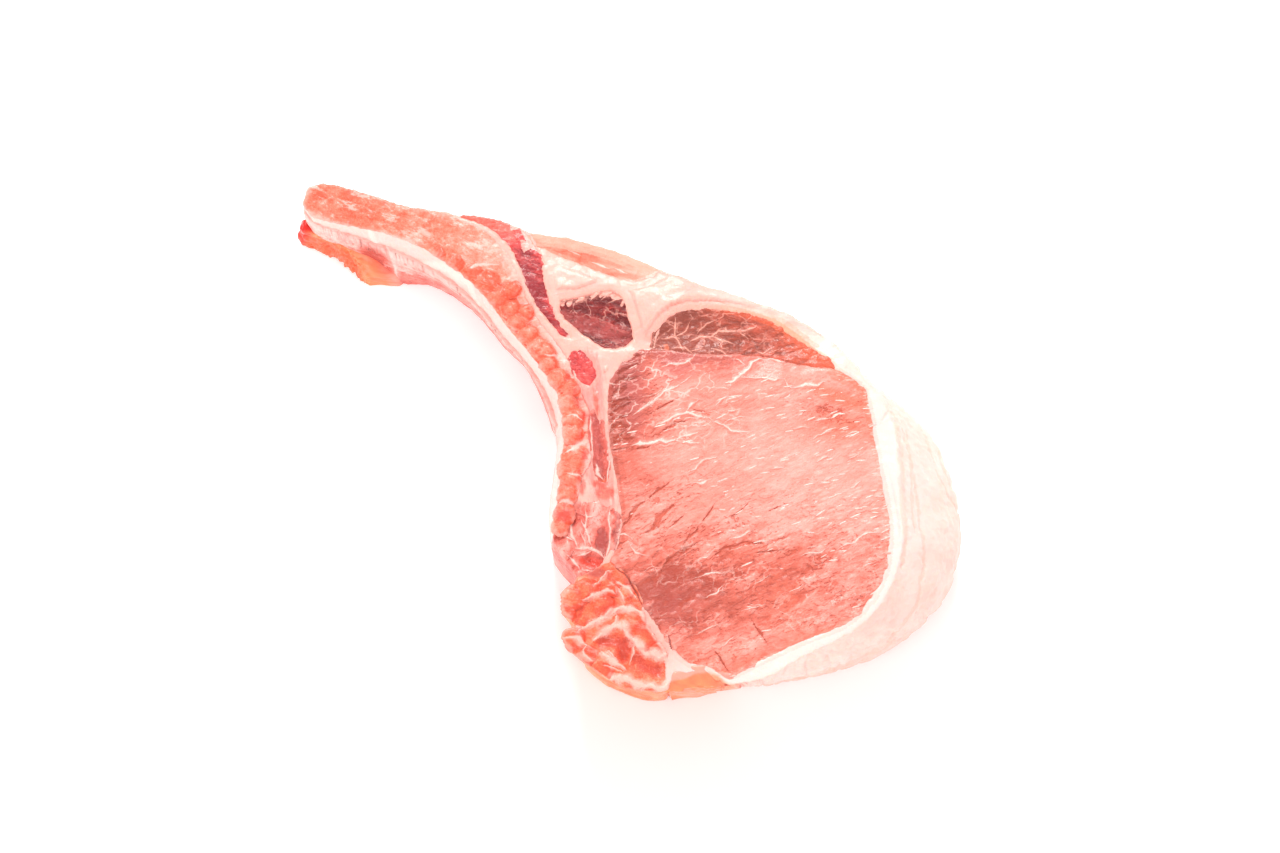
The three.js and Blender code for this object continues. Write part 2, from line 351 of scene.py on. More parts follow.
def clipped(value):
    return np.clip(value, 0, 1)


def rise(value, low, high):
    """0 up to low, 1 from high on, and a smooth rise between."""
    part = clipped((value - low) / (high - low))
    return part * part * (3 - 2 * part)


def turned(points, angle, stretch):
    """Points whose first axis runs along the angle, shortened along it so that noise comes out drawn out."""
    turn = math.radians(angle)
    cos, sin = math.cos(turn), math.sin(turn)
    made = points.copy()
    made[:, 0] = (points[:, 0] * cos + points[:, 1] * sin) / stretch
    made[:, 1] = points[:, 1] * cos - points[:, 0] * sin
    return made


def fibres(points, turn, stretch, size, seed, octaves=1):
    """Smooth noise drawn out along the angle."""
    return waves(turned(points, turn, stretch), size, seed, octaves)


def from_line(points, line, origin):
    """How far each point is in plan from a line of (x, y) points that are counted from the origin."""
    best = np.full(len(points), 99.0)
    flat, line = points[:, :2], np.array(line, float) + origin
    for start, end in zip(line[:-1], line[1:]):
        run = end - start
        part = clipped(((flat - start) @ run) / (run @ run))
        best = np.minimum(best, np.hypot(*(flat - start - part[:, None] * run).T))
    return best


def blob(points, origin, x, y, across, along=None, turn=0):
    """A soft spot at (x, y) from the origin: 1 in its middle, fading out by about its size."""
    angle = math.radians(turn)
    beside, above = points[:, 0] - (origin[0] + x), points[:, 1] - (origin[1] + y)
    right = beside * math.cos(angle) + above * math.sin(angle)
    up = above * math.cos(angle) - beside * math.sin(angle)
    return np.exp(-(right / across) ** 2 - (up / (along or across)) ** 2)


# ---------------------------------------------------------------- meshes

GAP = 0.15  # half the slit between two solids, mm
WALL_TOP = 14  # every tall solid's wall reaches up to this height, mm
STEEP = 0.6  # a face whose normal rises less than this is a wall
CAVE_ROUNDS = 9  # how widely the surface is averaged to tell hollows from swells


def tree_of(name):
    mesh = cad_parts[name].data
    return BVHTree.FromPolygons([v.co / MM for v in mesh.vertices], [p.vertices[:] for p in mesh.polygons])


trees = {name: tree_of(name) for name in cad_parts}


def touched(name, place, most):
    """Whether one of the other trees lies within most of the place."""
    others = (tree for other, tree in trees.items() if other != name)
    return any(tree.find_nearest(place, most)[3] is not None for tree in others)


def reach(points, names, most=6.0):
    """The distance from each point to the nearest of the named solids, in mm, below 0 inside one. The tall
    solids are measured level with their walls, and the outside only says how far it is."""
    best = np.full(len(points), most)
    level = points * (1, 1, 0)
    level[:, 2] = np.minimum(points[:, 2], WALL_TOP)
    for name in names:
        find, shell = trees[name].find_nearest, name == "outside"
        for index, point in enumerate(points if name in ("rib_meat", "end_flap", "outside") else level):
            if best[index] > 0:
                spot, normal, _, away = find(point, best[index])
                if away is not None:
                    best[index] = -away if not shell and normal.dot(Vector(point) - spot) < 0 else away
    return best


def read(items, name, width=3, kind=float):
    """One value of every item of a mesh, as a table with this many columns."""
    values = np.empty(len(items) * width, kind)
    items.foreach_get(name, values)
    return values.reshape(-1, width)


def put(mesh, places):
    """Moves the points of a mesh to these places."""
    mesh.vertices.foreach_set("co", places.ravel())
    mesh.update()


def mean_beside(places, mesh):
    """For each point, the mean of the points that share an edge with it."""
    edges = read(mesh.edges, "vertices", 2, np.int64)
    counts = np.bincount(edges.ravel(), minlength=len(places))[:, None]
    total = np.zeros_like(places)
    for axis in range(3):
        total[:, axis] = (np.bincount(edges[:, 0], places[edges[:, 1], axis], len(places))
                          + np.bincount(edges[:, 1], places[edges[:, 0], axis], len(places)))
    return total / counts


def relaxed(mesh, rounds):
    """The places of the mesh's points, smoothed by steps inwards and as many outwards."""
    places = read(mesh.vertices, "co")
    for _ in range(rounds):
        for pull in (0.5, -0.52):
            places = places + (mean_beside(places, mesh) - places) * pull
    return places


def closed_up(name, lap):
    """A copy of a solid as one closed mesh, its walls moved out over half the slit and by lap beyond it."""
    shape = bmesh.new()
    shape.from_mesh(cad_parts[name].data)
    bmesh.ops.remove_doubles(shape, verts=shape.verts, dist=1e-6)
    moves = {}
    for face in shape.faces:
        normal = face.normal
        if abs(normal.z) <= STEEP and touched(name, face.calc_center_median() / MM, 0.6):
            sideways = Vector((normal.x, normal.y, 0)).normalized()
            for corner in face.verts:
                moves.setdefault(corner, []).append(sideways)
    for corner, ways in moves.items():
        mean = sum(ways, Vector()) / len(ways)
        if mean.length > 0.2:
            corner.co += mean.normalized() * (GAP + lap) * MM
    mesh = bpy.data.meshes.new(name)
    shape.to_mesh(mesh)
    shape.free()
    return mesh


def remeshed(mesh, voxel):
    """The same shape in even squares."""
    holder = placed("holder", mesh)
    change = holder.modifiers.new("even", "REMESH")
    change.mode = "VOXEL"
    change.voxel_size = voxel * MM
    change.use_smooth_shade = True
    seen = holder.evaluated_get(bpy.context.evaluated_depsgraph_get())
    made = bpy.data.meshes.new_from_object(seen)
    bpy.data.objects.remove(holder)
    return made


def refined(mesh, fine):
    """Splits the faces that pass the test into four."""
    wanted = fine(read(mesh.polygons, "center") / MM, read(mesh.polygons, "normal"))
    shape = bmesh.new()
    shape.from_mesh(mesh)
    chosen = {edge for face, use in zip(shape.faces, wanted) if use for edge in face.edges}
    bmesh.ops.subdivide_edges(shape, edges=list(chosen), cuts=1, use_grid_fill=True)
    shape.to_mesh(mesh)
    shape.free()


def make_piece(name, finish, voxel, fine, shaper, lap=0.5, ragged=0.28):
    """Builds one piece from its solid, in squares of voxel mm that are split where the test called fine says
    so. The shaper gives each point's lift and the marks for the finish. The walls grow by lap, and the upper
    border strays by about ragged mm."""
    mesh = remeshed(closed_up(name, lap), voxel * (1))
    put(mesh, relaxed(mesh, 2))
    refined(mesh, fine)
    put(mesh, relaxed(mesh, 1))
    points, normals = read(mesh.vertices, "co") / MM, read(mesh.vertex_normals, "vector")
    lift, marks = shaper(points, normals, face_up(points, normals))
    sideways = normals * np.array([1.0, 1.0, 0.0])
    torn = ragged * waves(points, 1.3, 61, 2) * rise(points[:, 2], 8, 13)
    points = points + (normals * lift[:, None] if lift.ndim == 1 else lift) + sideways * torn[:, None]
    points = np.clip(points + tucked(points), np.array(cad_low) / MM, np.array(cad_high) / MM)
    put(mesh, points * MM)
    # The cave mark: how far each point lies below its smoothed neighbours. The finishes paint shade into the
    # hollows it finds and light onto the swells.
    hollow = points
    for _ in range(CAVE_ROUNDS):
        hollow = mean_beside(hollow, mesh)
    marks["cave"] = ((hollow - points) * read(mesh.vertex_normals, "vector")).sum(1)
    for label, values in marks.items():
        mesh.attributes.new(label, "FLOAT", "POINT").data.foreach_set("value", values.astype(np.float32))
    mesh.materials.clear()
    mesh.materials.append(finish)
    mesh.polygons.foreach_set("use_smooth", np.ones(len(mesh.polygons), bool))
    mesh.polygons.foreach_set("material_index", np.zeros(len(mesh.polygons), np.int32))
    piece = placed(name + "_dressed", mesh)
    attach(piece, "root")
    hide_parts(name)
    return piece


def upward(middles, normals):
    return (normals[:, 2] > 0.45) & (middles[:, 2] > 10)


def open_side(*names):
    """A test for faces that look up, and for walls that none of the named solids covers."""
    def test(middles, normals):
        wall = (normals[:, 2] > -0.5) & (reach(middles, names, 2.0) > 0.9)
        return upward(middles, normals) | wall
    return test


# ---------------------------------------------------------------- relief that all pieces share


def walls_outside():
    """The parts of the solids' walls that stand free, as one tree to measure from."""
    corners, faces = [], []
    for name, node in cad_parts.items():
        spots = [v.co / MM for v in node.data.vertices]
        for face in node.data.polygons:
            if abs(face.normal.z) < STEEP and not touched(name, face.center / MM, 0.7):
                faces.append([len(corners) + step for step in range(len(face.vertices))])
                corners.extend(spots[index] for index in face.vertices)
    return BVHTree.FromPolygons(corners, faces)


trees["outside"] = walls_outside()


def middle_of(name):
    low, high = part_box(name)
    return np.array((low + high) / 2)[:2] / MM


CHOP = np.array((cad_low + cad_high) / 2)[:2] / MM
EYE, CAP, SIDE, CHINE, JOINT = (middle_of(name) for name in (
    "eye_muscle", "cap_muscle", "side_muscle", "chine_bone", "joint_muscle"))


def face_up(points, normals):
    """1 on the sawn upper face and 0 on the walls and below."""
    return rise(normals[:, 2], 0.25, 0.65) * rise(points[:, 2], 7, 12)


def strokes(points, lines, origin, wobble, seed, taper=1.6):
    """Where each point lies beside the nearest of the strokes (width, points): across it, in half widths and
    with a sign for the side, and how many mm it is from the stroke's edge. Strokes waver and taper."""
    across, away = np.full(len(points), 9.0), np.full(len(points), 9.0)
    bent = (points + waves_in_plan(points, 2.4, seed, 3) * wobble)[:, :2]
    swell = 1 + 0.45 * waves(points, 2.2, seed + 2, 2)
    for width, line in lines:
        line = np.array(line, float) + origin
        near = np.flatnonzero(((bent > line.min(0) - 3) & (bent < line.max(0) + 3)).all(1))
        if not len(near):
            continue
        spots = bent[near]
        longs = np.hypot(*np.diff(line, axis=0).T)
        best, side, place, before = np.full(len(near), 99.0), np.ones(len(near)), np.zeros(len(near)), 0.0
        for start, end, long in zip(line[:-1], line[1:], longs):
            run, offset = (end - start) / long, spots - start
            part = np.clip(offset @ run, 0, long)
            far = np.hypot(*(offset - part[:, None] * run).T)
            closer = far < best
            best = np.where(closer, far, best)
            side = np.where(closer, np.where(run[0] * offset[:, 1] > run[1] * offset[:, 0], 1.0, -1.0), side)
            place = np.where(closer, before + part, place)
            before += long
        ends = np.clip(np.minimum(place, longs.sum() - place) / taper, 0.3, 1)
        half = width / 2 * swell[near] * ends
        closer = best - half < away[near]
        chosen = near[closer]
        away[chosen] = (best - half)[closer]
        across[chosen] = np.clip(side * best / half, -9, 9)[closer]
    return across, away


def carried(name, stroke, shown=1):
    """The two marks by which a finish finds the strokes. They are out of reach where they aren't shown."""
    return {name + "_across": stroke[0], name + "_away": stroke[1] + 3 * (1 - shown)}


def stroke_height(across, away, width=1.6):
    """1 along the middle of the strokes and 0 beside them, for relief."""
    return (1 - rise(np.abs(across), 0.5, width)) * (1 - rise(away, 0.2, 0.6))


def ridge(points, line, width, origin=ORIGIN):
    """A rounded ridge along a line: 1 on its crest."""
    return np.exp(-(from_line(points, line, origin) / width) ** 2)


def bundles(points, size, turn, stretch, seed):
    """Bundles cut across: each one's own number, and 0 on its border rising to 1 inside."""
    bent = turned(points, turn, stretch)
    bent = bent + size * 0.35 * waves_in_plan(points, size, seed + 1, 2)
    bent[:, 2] = 0
    near, second, own = lumps(bent, size, seed)
    return own, rise(second - near, 0.03 * size, 0.28 * size)


RIGHT, UP = np.array([0.82, 0.57, 0]), np.array([-0.57, 0.82, 0])  # as the camera sees them on the table


def tucked(points):
    """How the foot of the wall draws in below the backbone and the fat, the same for all pieces."""
    flat = points - np.array([*CHOP, 0])
    right, above, foot = flat @ RIGHT, flat @ UP, rise(-points[:, 2], -17, 0)
    draw = np.interp(right, [2, 10, 20, 28, 35, 45, 56, 64, 70], [0, 1.0, 2.0, 3.0, 2.5, 1.9, 1.9, 1.2, 0])
    corner = 3.0 * blob(points, CHINE, -9.5, -6.0, 4.6, 5.6, 35)
    rib = np.interp(right, [-40, -33, -27, -20, -14, -10, -6], [0, 1.2, 2.2, 2.8, 3.4, 1.6, 0])
    edge = np.interp(right, [-40, -27, -20, -14, -10, -6], [34, 28.4, 20.6, 13.2, 8, 4])
    rib = rib * rise(edge - above, -10, -3)
    return foot[:, None] * ((draw * rise(-above, 12, 30) + rib)[:, None] * UP + corner[:, None] * RIGHT)


# slits where two pieces have drawn apart, painted dark as their shade, as (width, points from the backbone's
# middle)
SLITS = [
    (0.32, [(-8.6, 9), (-7.3, 8.9), (-6, 8.8), (-4.6, 8.4), (-3.3, 7.7), (-1.5, 6.8), (0.2, 5.8)]),
    (0.6, [(7.8, 3.5), (8.8, 2.9), (9.8, 2.1)])]


def shared(points, up):
    """The unevenness of the sawn face, the same for neighbours so that their borders meet, and its slits."""
    slits = carried("slit", strokes(points, SLITS, CHINE, 0.25, 23), up)
    relief = 0.26 * waves(points, 9, 3) + 0.10 * waves(points, 3.2, 5, 2)
    relief -= 0.28 * stroke_height(*slits.values())
    relief -= 1.1 * blob(points, CAP, -17.2, -8.2, 2.6, 1.8, 35)
    return relief, slits


# ---------------------------------------------------------------- the eye of lean meat

# thin white threads, as (width, points from the middle of the eye), in mm like all that follow
EYE_THREADS = [
    (0.5, [(-25, 2), (-24, 5), (-23.4, 7), (-23, 9.2), (-22.3, 10.6), (-21.3, 12)]),
    (0.3, [(-21.3, 12), (-20.8, 13.7), (-20.5, 15)]),
    (0.42, [(-26, 13), (-25, 14.3), (-23.4, 15.4), (-22.9, 16.7), (-22.4, 18), (-22, 19.5)]),
    (0.55, [(-20, 2.6), (-18.9, 5), (-18.2, 6.7), (-17, 8), (-16, 8.4), (-14.2, 9), (-12.5, 9.6)]),
    (0.42, [(-12.5, 9.6), (-9.7, 10), (-7.8, 9.9), (-5.6, 11.1), (-4.5, 12)]),
    (0.38, [(-17, 8), (-17.1, 9.6), (-17, 10.8), (-16.2, 11.7)]),
    (0.25, [(-12, 9.4), (-12.5, 8.1), (-13.6, 7.1)]),
    (0.22, [(-9.9, 10.2), (-9.2, 11.5), (-8, 13.1), (-6.5, 14.2)]),
    (0.28, [(-13, 12), (-12.8, 13.5), (-12.7, 14.8), (-12.5, 15.6)]),
    (0.28, [(-11.8, 14), (-11, 15.2), (-10.2, 16.2)]),
    (0.42, [(-14.2, 17.1), (-13.2, 18.2), (-13, 19.6), (-12.5, 21.1), (-12.4, 24), (-12, 25.3),
     (-11, 26.4)]), (0.4, [(-11, 26.4), (-8.6, 27.2), (-6.5, 28.7)]),
    (0.32, [(-16, 22.4), (-14.8, 23.1), (-12.6, 22.7)]),
    (0.35, [(-12.2, 20.1), (-10.3, 21.3), (-8.3, 22.8), (-6.7, 23.5), (-5.5, 24.7)]),
    (0.32, [(-5.5, 24.7), (-4.3, 23.8), (-3.4, 23.5)]), (0.55, [(-2.4, 23.4), (-2.4, 22.4), (-3.1, 21.4)]),
    (0.45, [(-3.4, 23.5), (-1.9, 25.1), (-0.6, 26.7), (1.3, 28.5)]),
    (0.6, [(-21.7, -3.4), (-20.5, -2), (-19.2, -0.7), (-17.8, 0.8), (-16.5, 1.2), (-14.8, 2.7)]),
    (0.5, [(-14.8, 2.7), (-13.1, 3.7), (-11.6, 4.5)]), (0.28, [(-15.9, 1.9), (-14.2, 4.3), (-12.8, 6.2)]),
    (0.35, [(-9.6, -1.4), (-9.2, 0.3), (-8.7, 1.6), (-7.9, 2.9)]), (0.75, [(-8.4, 2.4), (-7.2, 3.6)]),
    (0.4, [(-7.7, -2.9), (-6.3, -2.3), (-5.3, -0.2)]), (0.25, [(-9.4, 5.8), (-8.8, 7.1)]),
    (0.25, [(-25.5, 6), (-24.2, 8), (-23.8, 9.4)]), (0.2, [(9.2, -27.4), (10.2, -25.6), (12, -22.6)]),
    (0.22, [(13.8, -18.5), (16, -15.8), (16.8, -14.5)]),
    (0.2, [(15.2, -26.5), (15.1, -24.4), (15.8, -22.7)]), (0.35, [(4.5, -8), (5.9, -5.6), (6.8, -4)]),
    (0.4, [(-10.8, -19.6), (-8.6, -20.4), (-6.8, -19.4)]), (0.3, [(3, -18), (5.4, -15.2), (7.6, -13.6)]),
    (0.25, [(-14, -20), (-12.6, -18.4), (-10.9, -18.6)]),
    (0.35, [(22, 2), (23.6, 4.8), (24.4, 7.6), (26.6, 9.4)]),
    (0.3, [(17, -2.8), (19.4, -0.6), (20.4, 1.8)])]

# bigger pale flecks, as (width, points)
EYE_FLECKS = [
    (0.4, [(0.7, 19.7), (1.7, 21.4)]), (0.35, [(1.7, 17.2), (2.7, 18.4), (4, 19.1)]),
    (0.5, [(5.7, 17.5), (6.6, 19)]), (0.42, [(6.6, 19), (7.1, 20.4), (8.2, 21.9)]),
    (0.35, [(10.2, 21.3), (11.1, 22.8), (12.6, 24.4)]), (0.28, [(3.6, 20.5), (4.8, 21.7), (6.4, 23.2)]),
    (0.42, [(2.8, 7.9), (4.8, 9.5)]), (0.42, [(9.1, 14.3), (9.7, 15.8), (10.5, 16.8)]),
    (0.75, [(-17.2, 5.1), (-16.9, 5.6)]), (0.3, [(1, 4.3), (2, 5.5)]), (0.28, [(-1.1, -2.4), (-0.5, -0.8)]),
    (0.4, [(17.4, -1.2), (18.4, 0.4)]), (0.45, [(19.5, -9.6), (20.6, -7.4)]),
    (0.35, [(13, -12.4), (14.3, -10)]), (0.3, [(1.6, -14.8), (2.8, -12.6)]),
    (0.35, [(7, -19.8), (8.2, -17.6), (8.4, -15.8)]), (0.35, [(-8.6, 12.6), (-7.2, 13.5)]),
    (0.35, [(-3.4, 5.4), (-2.2, 7.2)]), (0.3, [(-0.4, 10.6), (0.8, 12.6)]),
    (0.35, [(4.2, 12.2), (5.6, 14.4)]), (0.35, [(12.4, 12), (13.4, 13.9)]),
    (0.3, [(14, 18.4), (15.2, 20.4)]), (0.35, [(17, 13.6), (18.2, 15.8)])]

# furrows between the bundles of fibre, as (width, points)
EYE_FURROWS = [
    (0.45, [(-12.7, -9.8), (-12.4, -7.9), (-11.6, -5.3)]),
    (0.45, [(-13.9, -16.9), (-13.8, -14.6), (-13.7, -12.5), (-13.3, -10.9)]),
    (0.65, [(-9.5, -16), (-8.9, -14.7), (-9, -11.6), (-8.4, -8.6)]), (0.3, [(-8.2, -14), (-7.8, -11.1)]),
    (0.35, [(-2.4, -13.8), (-2.1, -11.4), (-2.1, -9.5)]), (0.35, [(-1.9, -7.8), (-2, -4.6)]),
    (0.28, [(1.9, -4.1), (2.9, -2), (3.3, -0.4)]),
    (0.45, [(-3.1, -18.2), (-2.3, -16.1), (-1.4, -14.3), (-0.4, -12)]),
    (0.45, [(17.1, -18.8), (20.6, -20.3)]), (0.4, [(14.4, -27.5), (16.2, -28.1), (18.2, -29)]),
    (0.55, [(-20.4, -3.4), (-18.8, -1.6)]), (0.45, [(-18.4, 2.6), (-17.4, 5), (-16.2, 6.6)]),
    (0.5, [(5.5, -9.5), (7, -6.6), (9.5, -5.3)]), (0.45, [(-2.9, -19.5), (-3, -17.5), (-2.4, -15.6)]),
    (0.4, [(10.2, -7), (13, -4.4)]), (0.4, [(3.8, -12), (4.6, -9.6), (7, -7.5)]),
    (0.55, [(-21.9, 5.4), (-21.2, 7), (-20.4, 8.6)]), (0.35, [(-16.2, 9.4), (-14.4, 10.2)]),
    (0.35, [(-6.4, -12.6), (-5.6, -9.6)]), (0.4, [(-24, -6), (-22.6, -4.6)]), (0.3, [(7.4, 1), (8.6, 3)])]
# and a comb of short ones along the eye's left border, from below the cap down to the joint
COMB_X = (-32.4, -31.3, -29.5, -27.3, -24.9)
COMB_Y = (9.6, 4.9, 1.1, -2.0, -4.9)
comb_random = np.random.default_rng(61)
for place in np.linspace(0, 4, 17):
    start = np.array([np.interp(place, range(5), values) for values in (COMB_X, COMB_Y)])
    start = start + comb_random.uniform(-0.3, 0.5, 2)
    long, way = comb_random.uniform(1.4, 3.4), np.radians(comb_random.uniform(40, 74))
    run = long * np.array([np.cos(way), np.sin(way)])
    bend = comb_random.uniform(-0.4, 0.4, 2)
    EYE_FURROWS.append((comb_random.uniform(0.7, 1.3), [start, start + run / 2 + bend, start + run]))


# spots that darken the eye or, with a strength below 0, brighten it, then mauve, orange and pitted spots, as
# (strength, x, y, across, along, turn) from its middle
EYE_DARK = [
    (0.38, 2.2, -26.6, 9.5, 6.6, 40), (0.38, -1.6, -22, 7.5, 5.5, 40), (0.3, 10, -19, 9, 5, 38),
    (-0.26, 16, -24.6, 5.5, 3.2, 40), (-0.16, -25, 9, 3.4, 3.4, 35), (0.12, 10, -13, 15, 5, 38),
    (0.12, 19, -16, 9, 6, 60), (0.66, -29, 5.5, 5.2, 14, 35), (0.08, -24, 15.5, 8, 6, 35),
    (0.12, -20, -8, 6, 8, 35), (0.16, 14, -8, 24, 6, 35), (0.13, -12, 21, 10, 3.6, 30),
    (0.18, 3, 25, 12, 4, 35), (0.22, -16, -22, 6, 3.5, 60), (0.24, 10, 23, 10, 4.5, 35)]
EYE_MAUVE = [
    (1, -29.5, 7, 4.2, 12, 35), (0.8, -24, 15.5, 5.5, 4.5, 60), (0.4, -13, 21, 9, 3, 35),
    (0.6, 1.8, -25, 11, 7, 40), (0.5, -17, -23, 4, 3, 60)]
EYE_ORANGE = [
    (1, 5, 27.5, 9, 1.8, 12), (0.7, 9, 23, 8, 4, 35), (0.4, 10, -6, 20, 3, 35), (0.5, 21, -12, 6, 10, 70),
    (0.3, -4, -8, 10, 6, 60)]
EYE_PITS = [
    (0.9, 6, 25, 10, 3.6, 30), (1, -25, 9, 3, 9, 35), (0.9, -22.5, -3.5, 1.8, 5, 38),
    (0.8, -17.5, -11, 1.6, 5, 38), (0.9, -20.5, 2.5, 3.4, 5, 35), (0.7, -14, 9.5, 4, 1.6, 55),
    (0.8, -9, -6, 9, 3, 60), (0.7, 3, -5, 9, 2.4, 35), (0.6, 13, -6, 12, 4, 35), (0.6, -16, -9, 6, 4, 60),
    (0.5, 8, 4, 16, 4, 35), (0.6, 22, -2, 6, 10, 70)]


def spots(points, places, origin):
    """The strongest of the soft spots (strength, x, y, across, along, turn) at each point."""
    most = np.zeros(len(points))
    for strength, *spot in places:
        most = np.maximum(most, strength * blob(points, origin, *spot))
    return most


def eye_shape(points, normals, up):
    rim = reach(points, ("fat_body", "chine_bone", "tail_sinew"), 5) + 0.65
    cap = reach(points, ("cap_muscle",), 12)
    local, origin = turned(points, 35, 1), turned(np.array([[*EYE, 0.0]]), 35, 1)[0]
    right, above = local[:, 0] - origin[0], local[:, 1] - origin[1]
    pale_lines = [(0.78 * width, line) for width, line in EYE_THREADS + EYE_FLECKS]
    thread = strokes(points, pale_lines, EYE, 0.5, 21)
    furrow = strokes(points, EYE_FURROWS, EYE, 0.3, 25, 2.4)
    lower = rise(-above, -1, 12)
    pits = spots(points, EYE_PITS, EYE)
    rough = pits * rise(fibres(points, 62, 2.4, 2.6, 31, 2), -0.35, 0.3)
    rough = clipped(rough + 0.35 * lower * rise(fibres(points, 66, 2.6, 3.0, 33, 2), 0.0, 0.4))
    own, inside = bundles(points, 3.0, 64, 2.0, 37)
    small, small_inside = bundles(points, 1.3, 60, 2.2, 38)
    base, marks = shared(points, up)
    rolling = fibres(points, 66, 2.2, 6.0, 43, 2)
    relief = 0.22 * rolling * (0.4 + 0.8 * lower)
    relief += (own - 0.5) * (0.06 + 0.46 * lower) * inside
    relief += (small - 0.5) * (0.05 + 0.22 * lower) * small_inside - 0.10 * (1 - inside) * lower
    relief += 0.08 * stroke_height(*thread) - 0.30 * stroke_height(*furrow, 2.2)
    relief += 0.03 * fibres(points, 60, 1.5, 0.9, 45, 2) - 0.14 * rough
    wall = 0.12 * waves(points, 2.5, 47, 2) * (rim > 0.8)
    tone = 0.66 + 0.14 * rise(right, -6, 18) * rise(above, -16, 2) + 0.10 * waves(points, 7, 51, 2)
    for strength, *spot in EYE_DARK:
        tone -= strength * blob(points, EYE, *spot)
    near_cap = rise(-cap + 1.2 * waves(points, 1.6, 49, 2), -2.2, -0.2)
    tone -= 0.18 * rise(-cap, -4.0, -0.2) * rise(-right, -24, 4)
    tone -= 0.22 * near_cap * (0.5 + 0.5 * rise(-right, -12, 4))
    tone -= 0.34 * rise(-rim, -2.6, -0.2) * rise(-right, 12, 24)
    tone += 0.08 * rolling + (own - 0.5) * (0.06 + 0.26 * lower) + (small - 0.5) * (0.04 + 0.10 * lower)
    mauve = spots(points, EYE_MAUVE, EYE) + 0.3 * near_cap * rise(-right, -18, 2)
    warm = spots(points, EYE_ORANGE, EYE) + 0.5 * rise(-above, 25, 33)
    warm += 1.1 * rise(-rim, -3.4, -0.4) * blob(points, EYE, 2, 33, 20, 7, 35)
    warm += 0.8 * rise(-rim, -1.0, -0.2) * rise(right, 8, 18)
    fleck = 0.30 + 0.6 * rise(right, -14, 10) * rise(above, -18, -6) + 0.35 * waves(points, 6, 55, 2)
    fleck -= 0.35 * rise(-cap, -6, -2) + 0.3 * blob(points, EYE, 3, -20, 15, 6, 35)
    patch = rise(waves(points, 5, 57, 2), -0.25, 0.25)
    ledge = (0.30 + 0.70 * np.maximum(rise(-above, -4, 8), pits)) * (0.45 + 0.55 * patch)
    net = 0.75 * rise(above, 4, 14) * rise(-right, -8, 6) * (0.4 + 0.6 * patch) + 0.35 * lower * patch
    marks.update(carried("thread", thread), **carried("furrow", furrow), tone=tone, rough=rough * up,
                 warm=clipped(warm), mauve=clipped(mauve), rim=rim + 1.2 * rise(-right, 6, 14),
                 ledge=clipped(ledge) * up, net=clipped(net) * up, fleck=clipped(fleck) * up,
                 teeth=rise(right, 2, 14) * rise(above, -26, -10))
    return (base + relief * rise(cap, 0.1, 1.6)) * up + wall * (1 - up), marks


